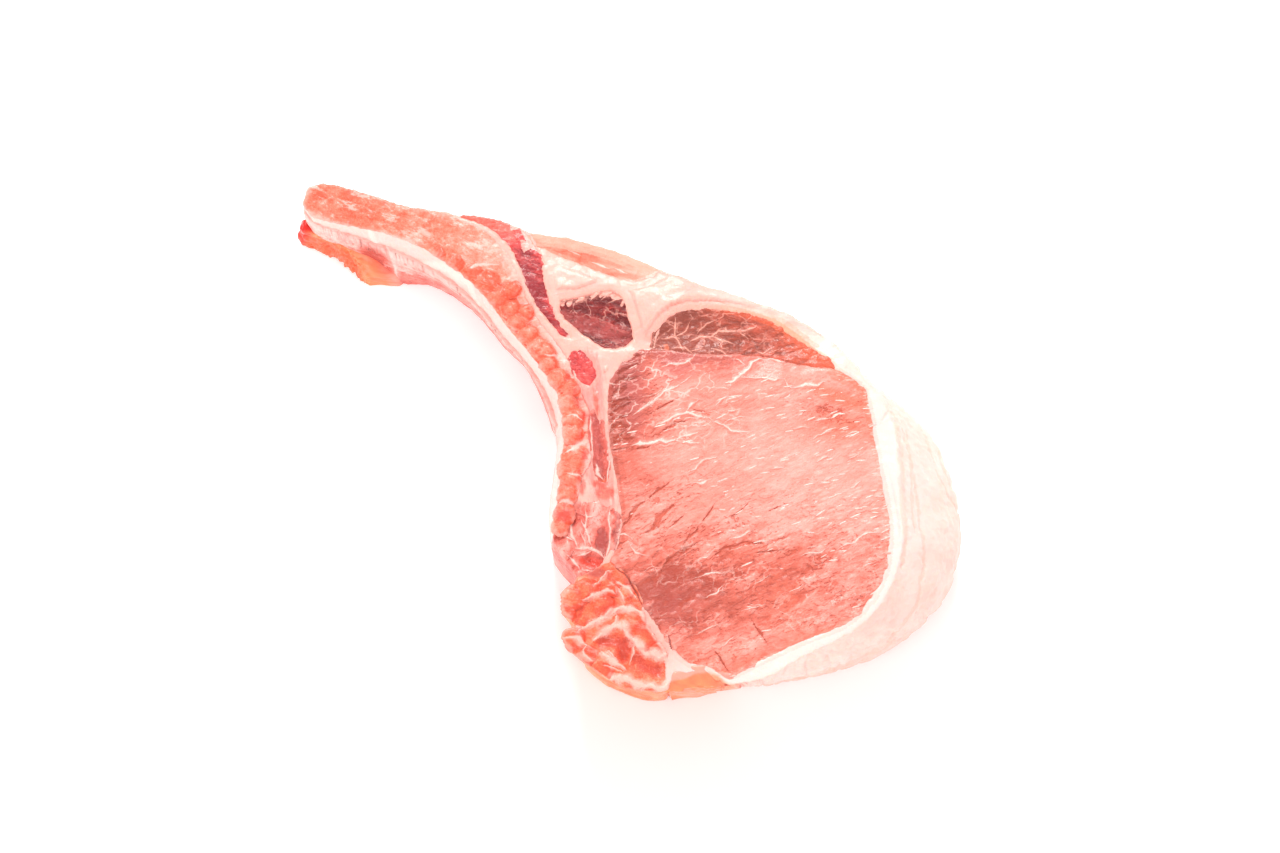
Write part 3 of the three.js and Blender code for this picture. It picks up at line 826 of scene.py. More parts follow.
def lean_finish(name, shades, warm, mauve, hollow, thread, rim, turn, cell=3.0, coat=0.18):
    """Wet lean meat: torn ledges and a grain that run one way, threads and nets of fat, furrows and pits.
    Shade is painted into hollows, pits, scoops and furrows, beside the threads and on the ledges' shaded
    faces, and light onto swells and the ledges' lit faces.
    """
    finish = Finish(name)
    lie = finish.along(turn, 2.2)
    bundle = finish.noise(2.6, 3, 0.6, lie)
    grain = finish.noise(0.8, 3, 0.65, lie)
    fine = finish.noise(0.28, 2, 0.6)
    comb = finish.noise(0.50, 2, 0.6, finish.along(turn - 46, 2.4))
    plate = finish.noise(2.6, 4, 0.64, lie)
    # Painted shade and painted light on the torn ledges: faces that turn away from the key light are painted
    # darker, faces that turn towards it paler.
    facing = plate - finish.noise(2.6, 4, 0.64, finish.along(turn, 2.2, (-0.10, 0.26, 0.0)))
    band = finish.step(finish.math("FRACT", plate * 8.0), 0.45, 0.95) * finish.mark("ledge")
    shadow = band * finish.step(facing * -1, 0.0, 0.035)
    light = band * finish.step(facing, 0.0, 0.035)
    tone = finish.mark("tone", (bundle, 0.45), (grain, 0.40), (fine, 0.22)) - shadow * 0.46 + light * 0.26
    finish.colour = finish.ramp(tone, (0.0, 0.33, 0.66, 1.0), shades)
    finish.lay("mauve", 0.1, 1.0, 0.75, mauve, (grain, 0.8))
    finish.lay("warm", 0.1, 1.0, 0.8, warm, (grain, 0.9))
    # Painted light on the swells and painted shade in the hollows.
    finish.lay("cave", -0.03, -0.16, 0.15, thread, (fine, 0.08))
    finish.lay("cave", 0.02, 0.14, 0.5, hollow, (fine, 0.08))
    smooth = 1 - finish.mark("rough")
    # Pits, scoops and furrows: painted dark brown as the shade in these recesses, and sunk by the bump as
    # well.
    pits = finish.step(comb + (grain - 0.5) * 0.3 - smooth * 0.28, 0.50, 0.58)
    scoop = finish.step(finish.noise(1.5, 3, 0.62, finish.along(turn, 1.5)) - smooth * 0.24, 0.53, 0.57)
    side = finish.mark("furrow_across")
    near = 1 - finish.step(finish.mark("furrow_away"), 0.9, 1.6)
    sharp, frayed = side + (fine - 0.5) * 0.6, side + (comb - 0.5) * 9
    trench = finish.step(sharp, -1.3, -0.9) * (1 - finish.step(frayed, 0.8, 2.4)) * near
    dark = finish.math("MAXIMUM", finish.math("MAXIMUM", pits, scoop), trench)
    finish.cover(dark * 0.66, finish.blend(finish.mark("mauve"), hollow, (152, 74, 64)))
    finish.lay("pale", 0.35, 0.75, 0.85, thread, (grain, 0.9), (fine, 0.6))
    finish.lay("rim", 0.8, 0.1, 0.5, rim, (grain, 2.2), (fine, 1.0))
    teeth = finish.mark("rim", (finish.noise(0.45, 2, 0.6, finish.along(38, 3.5)), 4.2))
    finish.cover(finish.step(teeth, 0.60, 0.15) * finish.mark("teeth") * 0.4, thread)
    fray = (fine - 0.5) * 1.4
    core = finish.stroke("thread", fray, 0.45) * finish.step(bundle + grain, 0.66, 0.96)
    # A painted shadow along the lower side of each thread.
    finish.cover(finish.below("thread", fray, 5.0) * 0.45, hollow)
    finish.cover(finish.dashes(0.9, turn - 3, 3.2, finish.mark("fleck"), (fine - 0.5) * 0.35) * 0.30, thread)
    finish.cover(finish.stroke("thread", fray, 3.0, 0.8) * 0.20, thread)
    finish.cover(core * 0.86, thread)
    border = finish.cells(cell, finish.swayed(finish.along(turn, 1.5), 2.5, 3.2), "DISTANCE_TO_EDGE")
    net = finish.step(border + (fine - 0.5) * 0.06, 0.06, 0.015) * finish.step(plate + grain, 0.82, 1.10)
    finish.cover(net * finish.mark("net") * 0.85, thread)
    finish.slits(fine)
    height = bundle * 0.4 + grain * 0.35 + fine * 0.16 - dark * 0.26 + core * 0.10 + (light - shadow) * 0.16
    return finish.close(0.38 + (fine - 0.5) * 0.5, finish.bump(height, 0.55), 0.15, 0.7, coat)


eye_finish = lean_finish(
    "pale_eye_lean", [(184, 88, 72), (222, 124, 106), (256, 172, 159), (272, 208, 199)],
    (240, 128, 98), (192, 108, 104), (206, 98, 72), (275, 250, 242), (256, 160, 142), 60)

eye_piece = make_piece("eye_muscle", eye_finish, 0.5, upward, eye_shape)

# ---------------------------------------------------------------- the other lean muscles


def muscle(seed, low_tone, threads, origin, turn, swing=0.3, all_round=False, size=1.6, coarse=1.0):
    """The shape of a small muscle: its tone, the threads that cross it and the way its fibres run."""
    def shape(points, normals, up):
        whole = np.ones(len(points)) if all_round else up
        rim = reach(points, ("fat_body",), 3) + 0.65
        thread = strokes(points, threads, origin, 0.3, seed, 1.2)
        none = np.zeros(len(points))
        relief, marks = shared(points, up)
        fibre = fibres(points, turn, 3, 1.3, seed + 2, 2)
        own, inside = bundles(points, size, turn, 2.2, seed + 5)
        rough = rise(fibres(points, turn, 2, 2.0, seed + 6, 2), 0.0, 0.5)
        relief = relief + coarse * (0.08 * fibre + 0.06 * waves(points, 0.9, seed + 3, 2) - 0.12 * rough)
        relief += coarse * ((own - 0.5) * 0.26 * inside - 0.10 * (1 - inside))
        relief += 0.07 * stroke_height(*thread)
        tone = low_tone + swing * waves(points, 4, seed + 4, 2) + 0.15 * fibre
        tone += 0.18 * (own - 0.5) - 0.1 * (1 - inside)
        side = coarse * (0.14 * fibre + 0.25 * waves(points, 3, seed + 8, 2)) - 0.2
        lift = relief * up + (whole - up) * side
        marks.update(carried("thread", thread, whole), **carried("furrow", (none, none + 9)), tone=tone,
                     rough=rough * whole * 0.8, rim=rim, ledge=0.6 * coarse * whole)
        return lift, marks
    return shape


# as (width, points from the middle of the cap)
CAP_THREADS = [
    (0.3, [(-15.3, -1.7), (-13.1, -4.5), (-10.4, -6)]),
    (0.42, [(-10.2, -3.6), (-9.4, -1.6), (-7.6, -0.1), (-7.3, 1.4), (-3.7, 3.7), (-1.6, 6.4)]),
    (0.28, [(-3.7, 3.7), (-1.6, 3.4)]), (0.3, [(-7.6, -0.1), (-5.5, 0.1), (-3.1, 1.1)]),
    (0.25, [(-10.2, -1.2), (-9.9, 1.1), (-8.8, 2.9)]), (0.25, [(3.5, 3.4), (4.4, 5.3)]),
    (0.3, [(-15.1, -6.3), (-12.4, -4.2)]), (0.22, [(-13.1, -4.5), (-12.2, -2.2), (-12.6, -0.4)]),
    (0.35, [(-9, -5), (-7.6, -3.6)]), (0.25, [(-5.5, 0.1), (-5, -1.8)]),
    (0.22, [(0.8, 2.2), (2.6, 2.6), (3.4, 4.4)]),
    (0.3, [(-6.2, -2.6), (-4.2, -1.6), (-2, -2), (-0.4, -0.8)]),
    (0.25, [(-12, -6.6), (-10.4, -5.2), (-8.2, -5.4)])]


def cap_shape(points, normals, up):
    lift, marks = muscle(71, 0.36, CAP_THREADS, CAP, 40, swing=0.2, coarse=0.7)(points, normals, up)
    eye = reach(points, ("eye_muscle",), 8)
    # Painted shade: the cap's left corner, in the crease under the fat's overhang, is painted darker
    # (shade), and a darker orange band along the fat's edge (over) is painted as the shadow under the fat's
    # lip. The warm orange that grows to the right is the cap's own colour.
    shade = blob(points, CAP, -16, -7.5, 4.4, 2.6, 35)
    right = (points[:, :2] - CAP) @ RIGHT[:2]
    over = rise(-marks["rim"], -2.4, -0.2) * rise(right, -12, -2)
    marks["tone"] += 0.20 * rise(-eye, -2.4, -0.1) - 0.3 * shade - 0.14 * over
    marks["tone"] += -0.20 * rise(-right, -4, 8) - 0.10 * rise(right, 2, 10)
    marks["warm"] = clipped(rise(right, 0, 16) * 0.8 + 0.9 * over)
    marks["mauve"] = rise(-right, -3, 10) * (0.5 + 0.4 * rise(-eye, -4, -0.5))
    marks["net"] = 0.5 * rise(-right, -12, 2)
    marks["rim"] += 1.2 * rise(-right, -4, 4)
    marks["rough"] *= 0.5
    base = shared(points, up)[0] * up
    return base + (lift - base) * rise(eye, 0.1, 1.6) - 0.14 * rise(-eye, -1.2, -0.1) * up, marks


# as (width, points from the middle of the side muscle)
SIDE_THREADS = [
    (0.32, [(0, 2.8), (0.7, 4.3), (2.2, 5.1)]), (1.6, [(-7.5, -1.6), (-6.7, 0.6), (-5.8, 2.6)]),
    (1.3, [(-5.3, -0.4), (-4.9, 1.3), (-4.4, 3.2)]), (0.9, [(-3.2, 1.6), (-3.1, 3.4), (-2.6, 4.6)]),
    (0.7, [(-1.4, 2.8), (-1, 4.8)])]


def side_shape(points, normals, up):
    lift, marks = muscle(81, 0.12, SIDE_THREADS, SIDE, 20, swing=0.2)(points, normals, up)
    foot = from_line(points, [(-6, -5.5), (0.5, -2.8), (6.5, -1.0)], SIDE)
    lower = rise(-foot, -2.8, -0.8)
    lump = blob(points, SIDE, 3.9, -1.3, 1.8, 1.4, 35)
    marks["tone"] += 0.30 * lower + 0.3 * lump
    marks["mauve"] = 0.9 * lower
    marks["warm"] = 0.5 * rise(-marks["rim"], -0.8, -0.1) * (1 + waves(points, 1.6, 89, 2))
    marks["rim"] += 0.4
    marks["net"] = 0.45 * (1 - lower)
    top = from_line(points, [(-8.5, -1.5), (-6.5, 1.5), (-3.5, 4.2), (0.5, 6.0), (4, 6.6)], SIDE)
    marks["pale"] = rise(-top + 2.4 * np.abs(waves(points, 2.0, 87, 2)), -1.7, -0.9)
    return lift + (0.7 * lump - 0.25) * up, marks


# threads of the muscles below, as (width, points from the middle of the chop)
STRIP_THREADS = [(0.25, [(-21.5, 9.6), (-19.6, 9.2)]), (0.2, [(-30, 13.2), (-27.8, 12.6)])]
SEAM_THREADS = [(0.22, [(2.4, 0.9), (5.2, -2.8), (8.4, -7.2), (10.8, -11.6)]),
                (0.9, [(6.4, -8.4), (7.5, -9.5), (8.8, -9.9)]), (0.3, [(0, -1), (2.8, -4.8), (5.4, -8.2)])]
RIB_MEAT_THREADS = [(0.5, [(-57, 7.6), (-51.4, 4.9), (-45.2, 5.6), (-38, 5.5), (-30, 3.6)])]
OUTER_THREADS = [(0.45, [(-18.6, 25.6), (-15.2, 26.4)]), (0.4, [(-14, 27), (-11.5, 27.4)]),
                 (0.3, [(-24, 25), (-21.4, 25.4)])]


def strip_shape(points, normals, up):
    lift, marks = muscle(91, 0.40, STRIP_THREADS, CHOP, 20, swing=0.25)(points, normals, up)
    dark = blob(points, ORIGIN, -24, 12.6, 9, 2.6, -38)
    marks["tone"] += 0.50 * rise(-points[:, 0], 28, 38) - 0.45 * dark
    marks["rim"] += 1.0
    marks["mauve"] = 0.9 * dark
    beside = np.minimum(reach(points, ("fat_body", "rib_bone"), 3),
                        reach(points, ("side_muscle", "outer_muscle"), 3) - 0.6)
    marks["pale"] = 1.3 * rise(-beside, -0.08, 0.20) * rise(points[:, 0], -44, -30)
    marks["pale"] = np.maximum(marks["pale"], 1.2 * blob(points, ORIGIN, -11.9, 10.2, 1.8))
    marks["warm"] = 0.9 * rise(-points[:, 0], 32, 42)
    outward = rise(normals[:, 0] * 0.4 + normals[:, 1] * 0.91, 0.1, 0.6)
    veil = 0.62 + 0.5 * fibres(points, 25, 1.8, 4.0, 97, 3)
    marks["pale"] = np.maximum(marks["pale"], outward * veil * rise(-points[:, 2], -18.5, -14))
    outward = outward * rise(points[:, 2], 6, 12)
    return lift + 0.1 * outward * rise(points[:, 0], -36, -24) - 0.15 * up, marks


def short_shape(points, normals, up):
    lift, marks = muscle(101, 0.40, (), CHOP, 145, coarse=0.7)(points, normals, up)
    marks["tone"] += 0.25 * blob(points, ORIGIN, -5.6, 4.6, 2.6, 2.0)
    marks["rim"] += 1.0
    return lift - 0.05 * up, marks


def seam_shape(points, normals, up):
    lift, marks = muscle(111, 0.16, SEAM_THREADS, CHOP, 130)(points, normals, up)
    foot = blob(points, ORIGIN, 10.4, -11.9, 2.2, 1.6, 30)
    beside = from_line(points, [(0.8, -0.8), (4.2, -4.8), (7.4, -8.8)], CHOP)
    marks["tone"] += 0.28 - 0.4 * foot - 0.2 * rise(-beside, -1.6, -0.4)
    marks["mauve"] = 0.7 * rise(-beside, -1.8, -0.3)
    marks["rough"] *= 0.35
    marks["warm"] = clipped(0.5 * foot + 0.7 * rise(beside, 1.4, 2.6))
    marks["rim"] += 0.5
    return lift + (0.15 - 0.5 * foot) * up, marks


# as (width, points from the middle of the joint's tissue)
JOINT_THREADS = [
    (0.35, [(0.6, 7), (1.6, 5), (3.1, 3.2), (4.2, 1.5), (5.2, -0.7), (5.3, -2.5)]),
    (0.6, [(5.4, -2.7), (6.1, -0.7), (5.8, 1.7), (5.2, 3.8), (4, 5.5)]),
    (0.6, [(-0.4, -2.7), (1.3, -1.4), (3.7, -0.9), (5, -1.2)]),
    (0.45, [(-4.3, 1.6), (-4.1, 0.4), (-2.5, -1.3), (-0.2, -2.5)]),
    (0.35, [(-2.6, 2.1), (-0.1, 0.7), (1.7, -0.9)]), (0.3, [(-4.6, -1.6), (-3.4, -2.2), (-1.4, -2)]),
    (0.3, [(-1.6, 0.2), (0, -0.6), (0.6, -1.6)]), (0.3, [(-3.4, 4.4), (-1.8, 2.6), (-0.8, 0.4)]),
    (0.5, [(3.2, -5.4), (4.6, -4.6)]), (0.5, [(-1, -4.8), (0.8, -5), (2.2, -5.6)]),
    (0.25, [(-3.6, 3), (-2, 3.4), (-0.8, 4.6)]), (0.4, [(0.4, -3.8), (1.6, -2.6), (2.2, -1.6)])]


def joint_shape(points, normals, up):
    lift, marks = muscle(121, 0.56, JOINT_THREADS, JOINT, 110, swing=0.35, size=1.8)(points, normals, up)
    left = blob(points, JOINT, -1.2, 3.9, 3.4, 1.6, 125)
    bent = points + 0.7 * waves_in_plan(points, 1.6, 122, 2)
    first = blob(bent, JOINT, 2.9, 0.7, 3.0, 1.4, 128)
    second = ridge(bent, [(1.8, 7.2), (3.4, 5.0), (4.8, 3.0), (5.8, 1.0)], 0.7, JOINT)
    gore = ridge(points, [(2.2, -3.5), (3.5, -3.0), (4.8, -2.7)], 0.8, JOINT)
    knob = blob(points, JOINT, -2.3, -3.4, 1.6)
    frayed = 0.22 * waves(points, 1.0, 129, 2)
    first, second = rise(first + frayed, 0.3, 0.8), rise(second + frayed, 0.3, 0.9)
    marks["tone"] += 0.5 * left - 0.75 * first - 0.6 * second - 0.35 * gore + 0.3 * knob
    marks["mauve"] = clipped(0.7 * first + 0.6 * second + 0.45 * left)
    marks["warm"] = clipped(1.5 * gore + 0.9 * blob(points, JOINT, -4.9, -0.6, 1.2, 1.2)
                            + 0.6 * blob(points, JOINT, 0.6, -4.2, 1.6, 1.0, 20))
    marks["pale"] = 0.35 * rise(waves(points, 1.5, 127, 2), 0.1, 0.5) * (1 - first) * (1 - second)
    swell = 0.7 * left + 0.35 * first + 0.3 * second + 0.9 * knob - 0.5 * gore
    return lift + swell * up, marks


def rib_meat_shape(points, normals, up):
    meat = muscle(131, 0.46, RIB_MEAT_THREADS, CHOP, 10, all_round=True, coarse=0.6)
    lift, marks = meat(points, normals, up)
    bone = reach(points, ("rib_bone",), 4)
    # A dent beside the bone: sunk a little and painted darker as its shade.
    hollow = blob(points, CHOP, -57.5, 3.4, 3.0, 1.8, 10)
    skin = rise(points[:, 2] + 1.2 * fibres(points, 10, 3, 5, 137, 2), 3.6, 7.0)
    skin = skin * rise(-points[:, 0], 30, 56)
    marks["tone"] += -0.8 * hollow + 0.5 * rise(-bone, -1.8, -0.2) * (1 - hollow)
    marks["tone"] += -0.25 * rise(-points[:, 2], -5, -1)
    marks["pale"] = 0.6 * skin * (1 - hollow)
    marks["rim"] = bone
    feather = 5.0 * rise(-bone, -1.3, 0.3) ** 2 * rise(points[:, 2], 5, 9)
    made = normals * (lift - 0.6 * hollow)[:, None]
    made[:, 2] += feather
    flat = points - np.array([*CHOP, 0])
    right, above = flat @ RIGHT, flat @ UP
    draw = np.interp(right, range(-62, -33, 4), [3.0, 3.4, 2.2, 0.2, -1.2, -1.8, -1.5, 0])
    edge = np.interp(right, [-62, -46, -34], [47, 36, 29])
    draw = draw * rise(edge - above, -7, -2) * rise(-points[:, 2], -8, -1)
    return made + draw[:, None] * UP, marks


def outer_shape(points, normals, up):
    meat = muscle(141, 0.52, OUTER_THREADS, CHOP, 20, all_round=True, coarse=0.35)
    lift, marks = meat(points, normals, up)
    edge = reach(points, ("outside",), 4)
    marks["warm"] = rise(-edge, -2.4, -0.2)
    streak = fibres(points, 20, 4, 1.6, 143, 2)
    marks["tone"] += -0.08 + 0.65 * streak + 0.2 * rise(points[:, 0], -20, -8)
    marks["pale"] = 0.55 * rise(-marks["rim"], -1.2, -0.1) * (0.6 + 0.6 * streak)
    marks["pale"] += 0.4 * rise(points[:, 0], -13, -7)
    veil = rise(fibres(points, 15, 2.0, 5.0, 145, 3), -0.25, 0.45) * (1 - up)
    marks["pale"] = np.maximum(marks["pale"], 0.75 * veil)
    marks["rough"] *= 0
    marks["ledge"] *= 0.5
    return lift, marks


# the fold between the pale top and the orange side of the tail, from the middle of the backbone
TAIL_FOLD = [
    (1.1, [(11, -6.1), (13, -3.8), (14.6, -1.8), (16, 0.6), (18, 2.6), (22.2, 2.8), (26.6, 4.2)])]


def tail_shape(points, normals, up):
    relief, marks = shared(points, up)
    low, high = (np.array(corner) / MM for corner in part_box("tail_sinew"))
    along = rise(points[:, 0], low[0], high[0])
    end = rise((points - high)[:, 0] + (points - high)[:, 1] * 0.6, -3.4, -0.6)
    across, _ = strokes(points, TAIL_FOLD, CHINE, 0.4, 33)
    marks.update(warm=0.62 + 0.3 * waves(points, 4, 151, 2),
                 pale=clipped(rise(across, -1.6, 1.0) * up + 0.4 * end))
    folds = 0.30 * fibres(points, 8, 3, 2.6, 153, 2)
    return (relief - 0.35 * along + folds) * up + (1 - up) * (0.3 * waves(points, 4, 155, 2) - 0.25), marks


def flap_shape(points, normals, up):
    low, high = (np.array(corner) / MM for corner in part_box("end_flap"))
    _, marks = shared(points, 0 * up)
    inward = points[:, 1] - low[1]
    edge = rise(-inward, -2.6, -0.4)
    to_rib = rise(points[:, 0], low[0] + 8, high[0] - 2)
    tip = rise(-points[:, 0] + 1.1 * inward, 69.0, 75)
    dark_rim = rise(inward, 3.2, 5.0) * (1 - to_rib)
    meat = 0.7 * rise(inward + 3.0 * to_rib, 4.6, 7.2) * to_rib
    marks.update(warm=clipped(1.05 - inward / 5.5), blood=clipped(tip + 0.5 * dark_rim), pale=meat,
                 fringe=rise(-inward, -1.3, -0.1) * (1 - 0.4 * to_rib))
    nibble = (0.8 * waves(points, 2.0, 165, 2) + 0.8 * waves(points, 5.0, 169)) * edge
    made = normals * (nibble - 0.35 * edge + 0.15 * fibres(points, 12, 2.5, 2.4, 167, 2))[:, None]
    made[:, 2] -= 0.42 * to_rib * points[:, 2]
    corner = blob(points, ORIGIN, high[0] - 4, low[1] + 1.0, 8.5, 4.0, 10) * rise(-inward, -5.5, -1)
    made += corner[:, None] * (-2.8 * RIGHT + 1.6 * UP)
    made[:, 0] -= 2.6 * rise(points[:, 0], high[0] - 9, high[0])
    hanging = rise(points[:, 0], low[0] + 4, low[0] + 13) * rise(-points[:, 0], 52, 58)
    made += 1.9 * (hanging * rise(-inward, -5.0, -1.0))[:, None] * UP
    return made, marks


cap_finish = lean_finish(
    "brown_cap_lean", [(140, 70, 56), (190, 96, 76), (230, 120, 98), (252, 150, 130)],
    (230, 112, 78), (170, 98, 86), (162, 78, 58), (262, 204, 188), (250, 144, 100), 40, 3.2)
dark_finish = lean_finish(
    "dark_side_lean", [(112, 34, 38), (154, 54, 54), (196, 80, 76), (230, 120, 110)],
    (220, 104, 86), (176, 90, 90), (130, 44, 44), (264, 210, 196), (232, 126, 108), 20, 2.6, coat=0.08)
red_finish = lean_finish(
    "red_rib_lean", [(158, 50, 60), (206, 74, 78), (242, 100, 98), (260, 148, 138)],
    (256, 116, 98), (168, 62, 74), (170, 52, 58), (272, 232, 224), (258, 160, 148), 20)
joint_finish = lean_finish(
    "joint_tissue", [(168, 72, 64), (214, 104, 92), (256, 156, 144), (270, 216, 208)],
    (240, 84, 64), (196, 106, 102), (206, 84, 72), (272, 236, 228), (260, 180, 168), 110)
seam_finish = lean_finish(
    "seam_lean", [(172, 74, 66), (212, 104, 92), (246, 136, 124), (264, 184, 172)],
    (250, 130, 96), (190, 98, 96), (190, 76, 62), (272, 236, 228), (254, 150, 134), 130)
outer_finish = lean_finish(
    "outer_lean", [(246, 118, 90), (256, 142, 116), (264, 168, 146), (268, 204, 188)],
    (268, 200, 180), (240, 130, 116), (250, 124, 92), (275, 245, 236), (268, 214, 200), 20, coat=0.0)
under_finish = lean_finish(
    "meat_under_the_rib", [(206, 98, 88), (250, 138, 124), (264, 180, 168), (272, 226, 218)],
    (262, 150, 112), (226, 130, 122), (248, 138, 122), (275, 242, 236), (275, 236, 230), 10)


def orange_sinew():
    finish = Finish("ragged_sinew")
    grain = finish.noise(2.2, 3, 0.6, finish.along(12, 2.6))
    fine = finish.noise(0.4, 2, 0.5)
    finish.colour = finish.ramp(finish.mark("warm", (grain, 0.9)), (0.0, 0.4, 0.75, 1.0),
                                [(258, 112, 92), (264, 148, 110), (266, 172, 122), (264, 150, 100)])
    finish.lay("blood", 0.2, 0.8, 1.0, (232, 46, 40), (grain, 0.5))
    finish.lay("fringe", 0.3, 0.8, 0.5, (222, 92, 64), (grain, 1.2), (fine, 0.6))
    finish.lay("pale", 0.2, 0.9, 0.85, (268, 190, 176), (grain, 0.9))
    return finish.close(0.34 + (fine - 0.5) * 0.3, finish.bump(grain + fine * 0.4, 0.10), 0.3, 1.5, 0.2)


sinew_finish = orange_sinew()

make_piece("cap_muscle", cap_finish, 0.42, upward, cap_shape)
make_piece("side_muscle", dark_finish, 0.38, upward, side_shape)
make_piece("strip_muscle_long", red_finish, 0.38, upward, strip_shape)
make_piece("strip_muscle_short", red_finish, 0.34, upward, short_shape)
make_piece("seam_muscle", seam_finish, 0.34, upward, seam_shape, lap=0.9)
make_piece("joint_muscle", joint_finish, 0.38, upward, joint_shape)
make_piece("rib_meat", under_finish, 0.42, open_side("rib_bone"), rib_meat_shape, lap=1.0)
make_piece("outer_muscle", outer_finish, 0.4, open_side("fat_body"), outer_shape)
make_piece("tail_sinew", sinew_finish, 0.34, upward, tail_shape, lap=1.1)
make_piece("end_flap", sinew_finish, 0.34, open_side("rib_bone", "rib_meat"), flap_shape)

# ---------------------------------------------------------------- bone


def bubbles(points, size, seed):
    """The height of rounded lumps that merge, from 0 to 1."""
    warp = waves_in_plan(points, size * 1.6, seed + 11) * size * 0.5
    near, _, own = lumps(points + warp, size, seed)
    return clipped(1 - (near / size / 0.85) ** 2) * (0.5 + 0.5 * own)


def lobed(points, places, origin, seed):
    """Lobes (x, y, size) that touch: how high each point is on its lobe, from 0 to 1, and the lobe's own
    tone, which deepens from its left to its right."""
    bent = (points + 0.45 * waves_in_plan(points, 2.2, seed, 2))[:, :2]
    best, own = np.zeros(len(points)), np.zeros(len(points))
    for index, (x, y, size) in enumerate(places):
        offset = bent - (origin[0] + x, origin[1] + y)
        height = 1 - (offset ** 2).sum(1) / size ** 2
        own = np.where(height > best, index * 0.618 % 1 + 1.2 * (offset @ RIGHT[:2]) / size, own)
        best = np.maximum(best, height)
    return best, own


# threads of the sawn rib, as (width, points), and its lobes of marrow and spots of blood, as (x, y, size),
# all from the middle of the chop
RIB_THREADS = [
    (0.8, [(0.4, -9.4), (0.9, -8), (1.3, -7.1), (2.6, -4.6)]),
    (0.6, [(5, -18.4), (6.2, -17.1), (7.9, -17.1)]),
    (1.2, [(2.4, -3.6), (4.6, -7.2), (6.2, -11.2), (7, -15)]),
    (0.4, [(3.2, -12.8), (4.6, -11.8), (5.6, -12)]), (0.45, [(-3.6, -3.2), (-2.4, -2.4), (-0.9, -2.6)]),
    (0.4, [(-21, 8.4), (-19.2, 10.4), (-16.4, 10.6)]),
    (1, [(-28, 17.6), (-23, 14.2), (-18.6, 10.6), (-14.6, 7.8), (-10.6, 5.4)]),
    (0.5, [(-14, 4.4), (-11.5, 6.6), (-9.6, 6.4)]), (0.5, [(-37, 10.6), (-35.4, 13), (-33, 14)])]
RIB_LOBES = [
    (-44, 9.2, 1.8), (-40, 9.7, 1.9), (-36.2, 10, 2), (-32.6, 9.9, 2.7), (-28.8, 8.9, 2.3),
    (-27.6, 11.6, 1.8), (-25.4, 8, 2.2), (-23, 6.9, 2.1), (-22.8, 9.3, 1.7), (-19.6, 5.9, 2.2),
    (-17, 4.8, 1.9), (-14.8, 4.6, 2.2), (-13, 3, 1.9), (-9.6, 1.6, 2.3), (-6.6, 1.4, 2), (-5.2, -1.6, 2.2),
    (-2.6, -3.2, 2.3), (-1, -5.8, 2.2), (2.6, -9.8, 3.3), (1.6, -12.6, 2.2), (4, -13.4, 2),
    (5.2, -16.2, 2.3), (7.2, -19.8, 2.4), (8, -22.2, 1.8)]
RIB_BLOOD = [
    (-3.2, 0.5, 1.9), (-1.2, -1.4, 1.5), (-8.1, 3.1, 1.4), (3.9, -8.1, 1.8), (5, -11.4, 1.5),
    (7, -20.2, 2.4), (7.6, -18.6, 1.5), (-5.6, 2, 1.4), (1.6, -4.6, 1.6)]


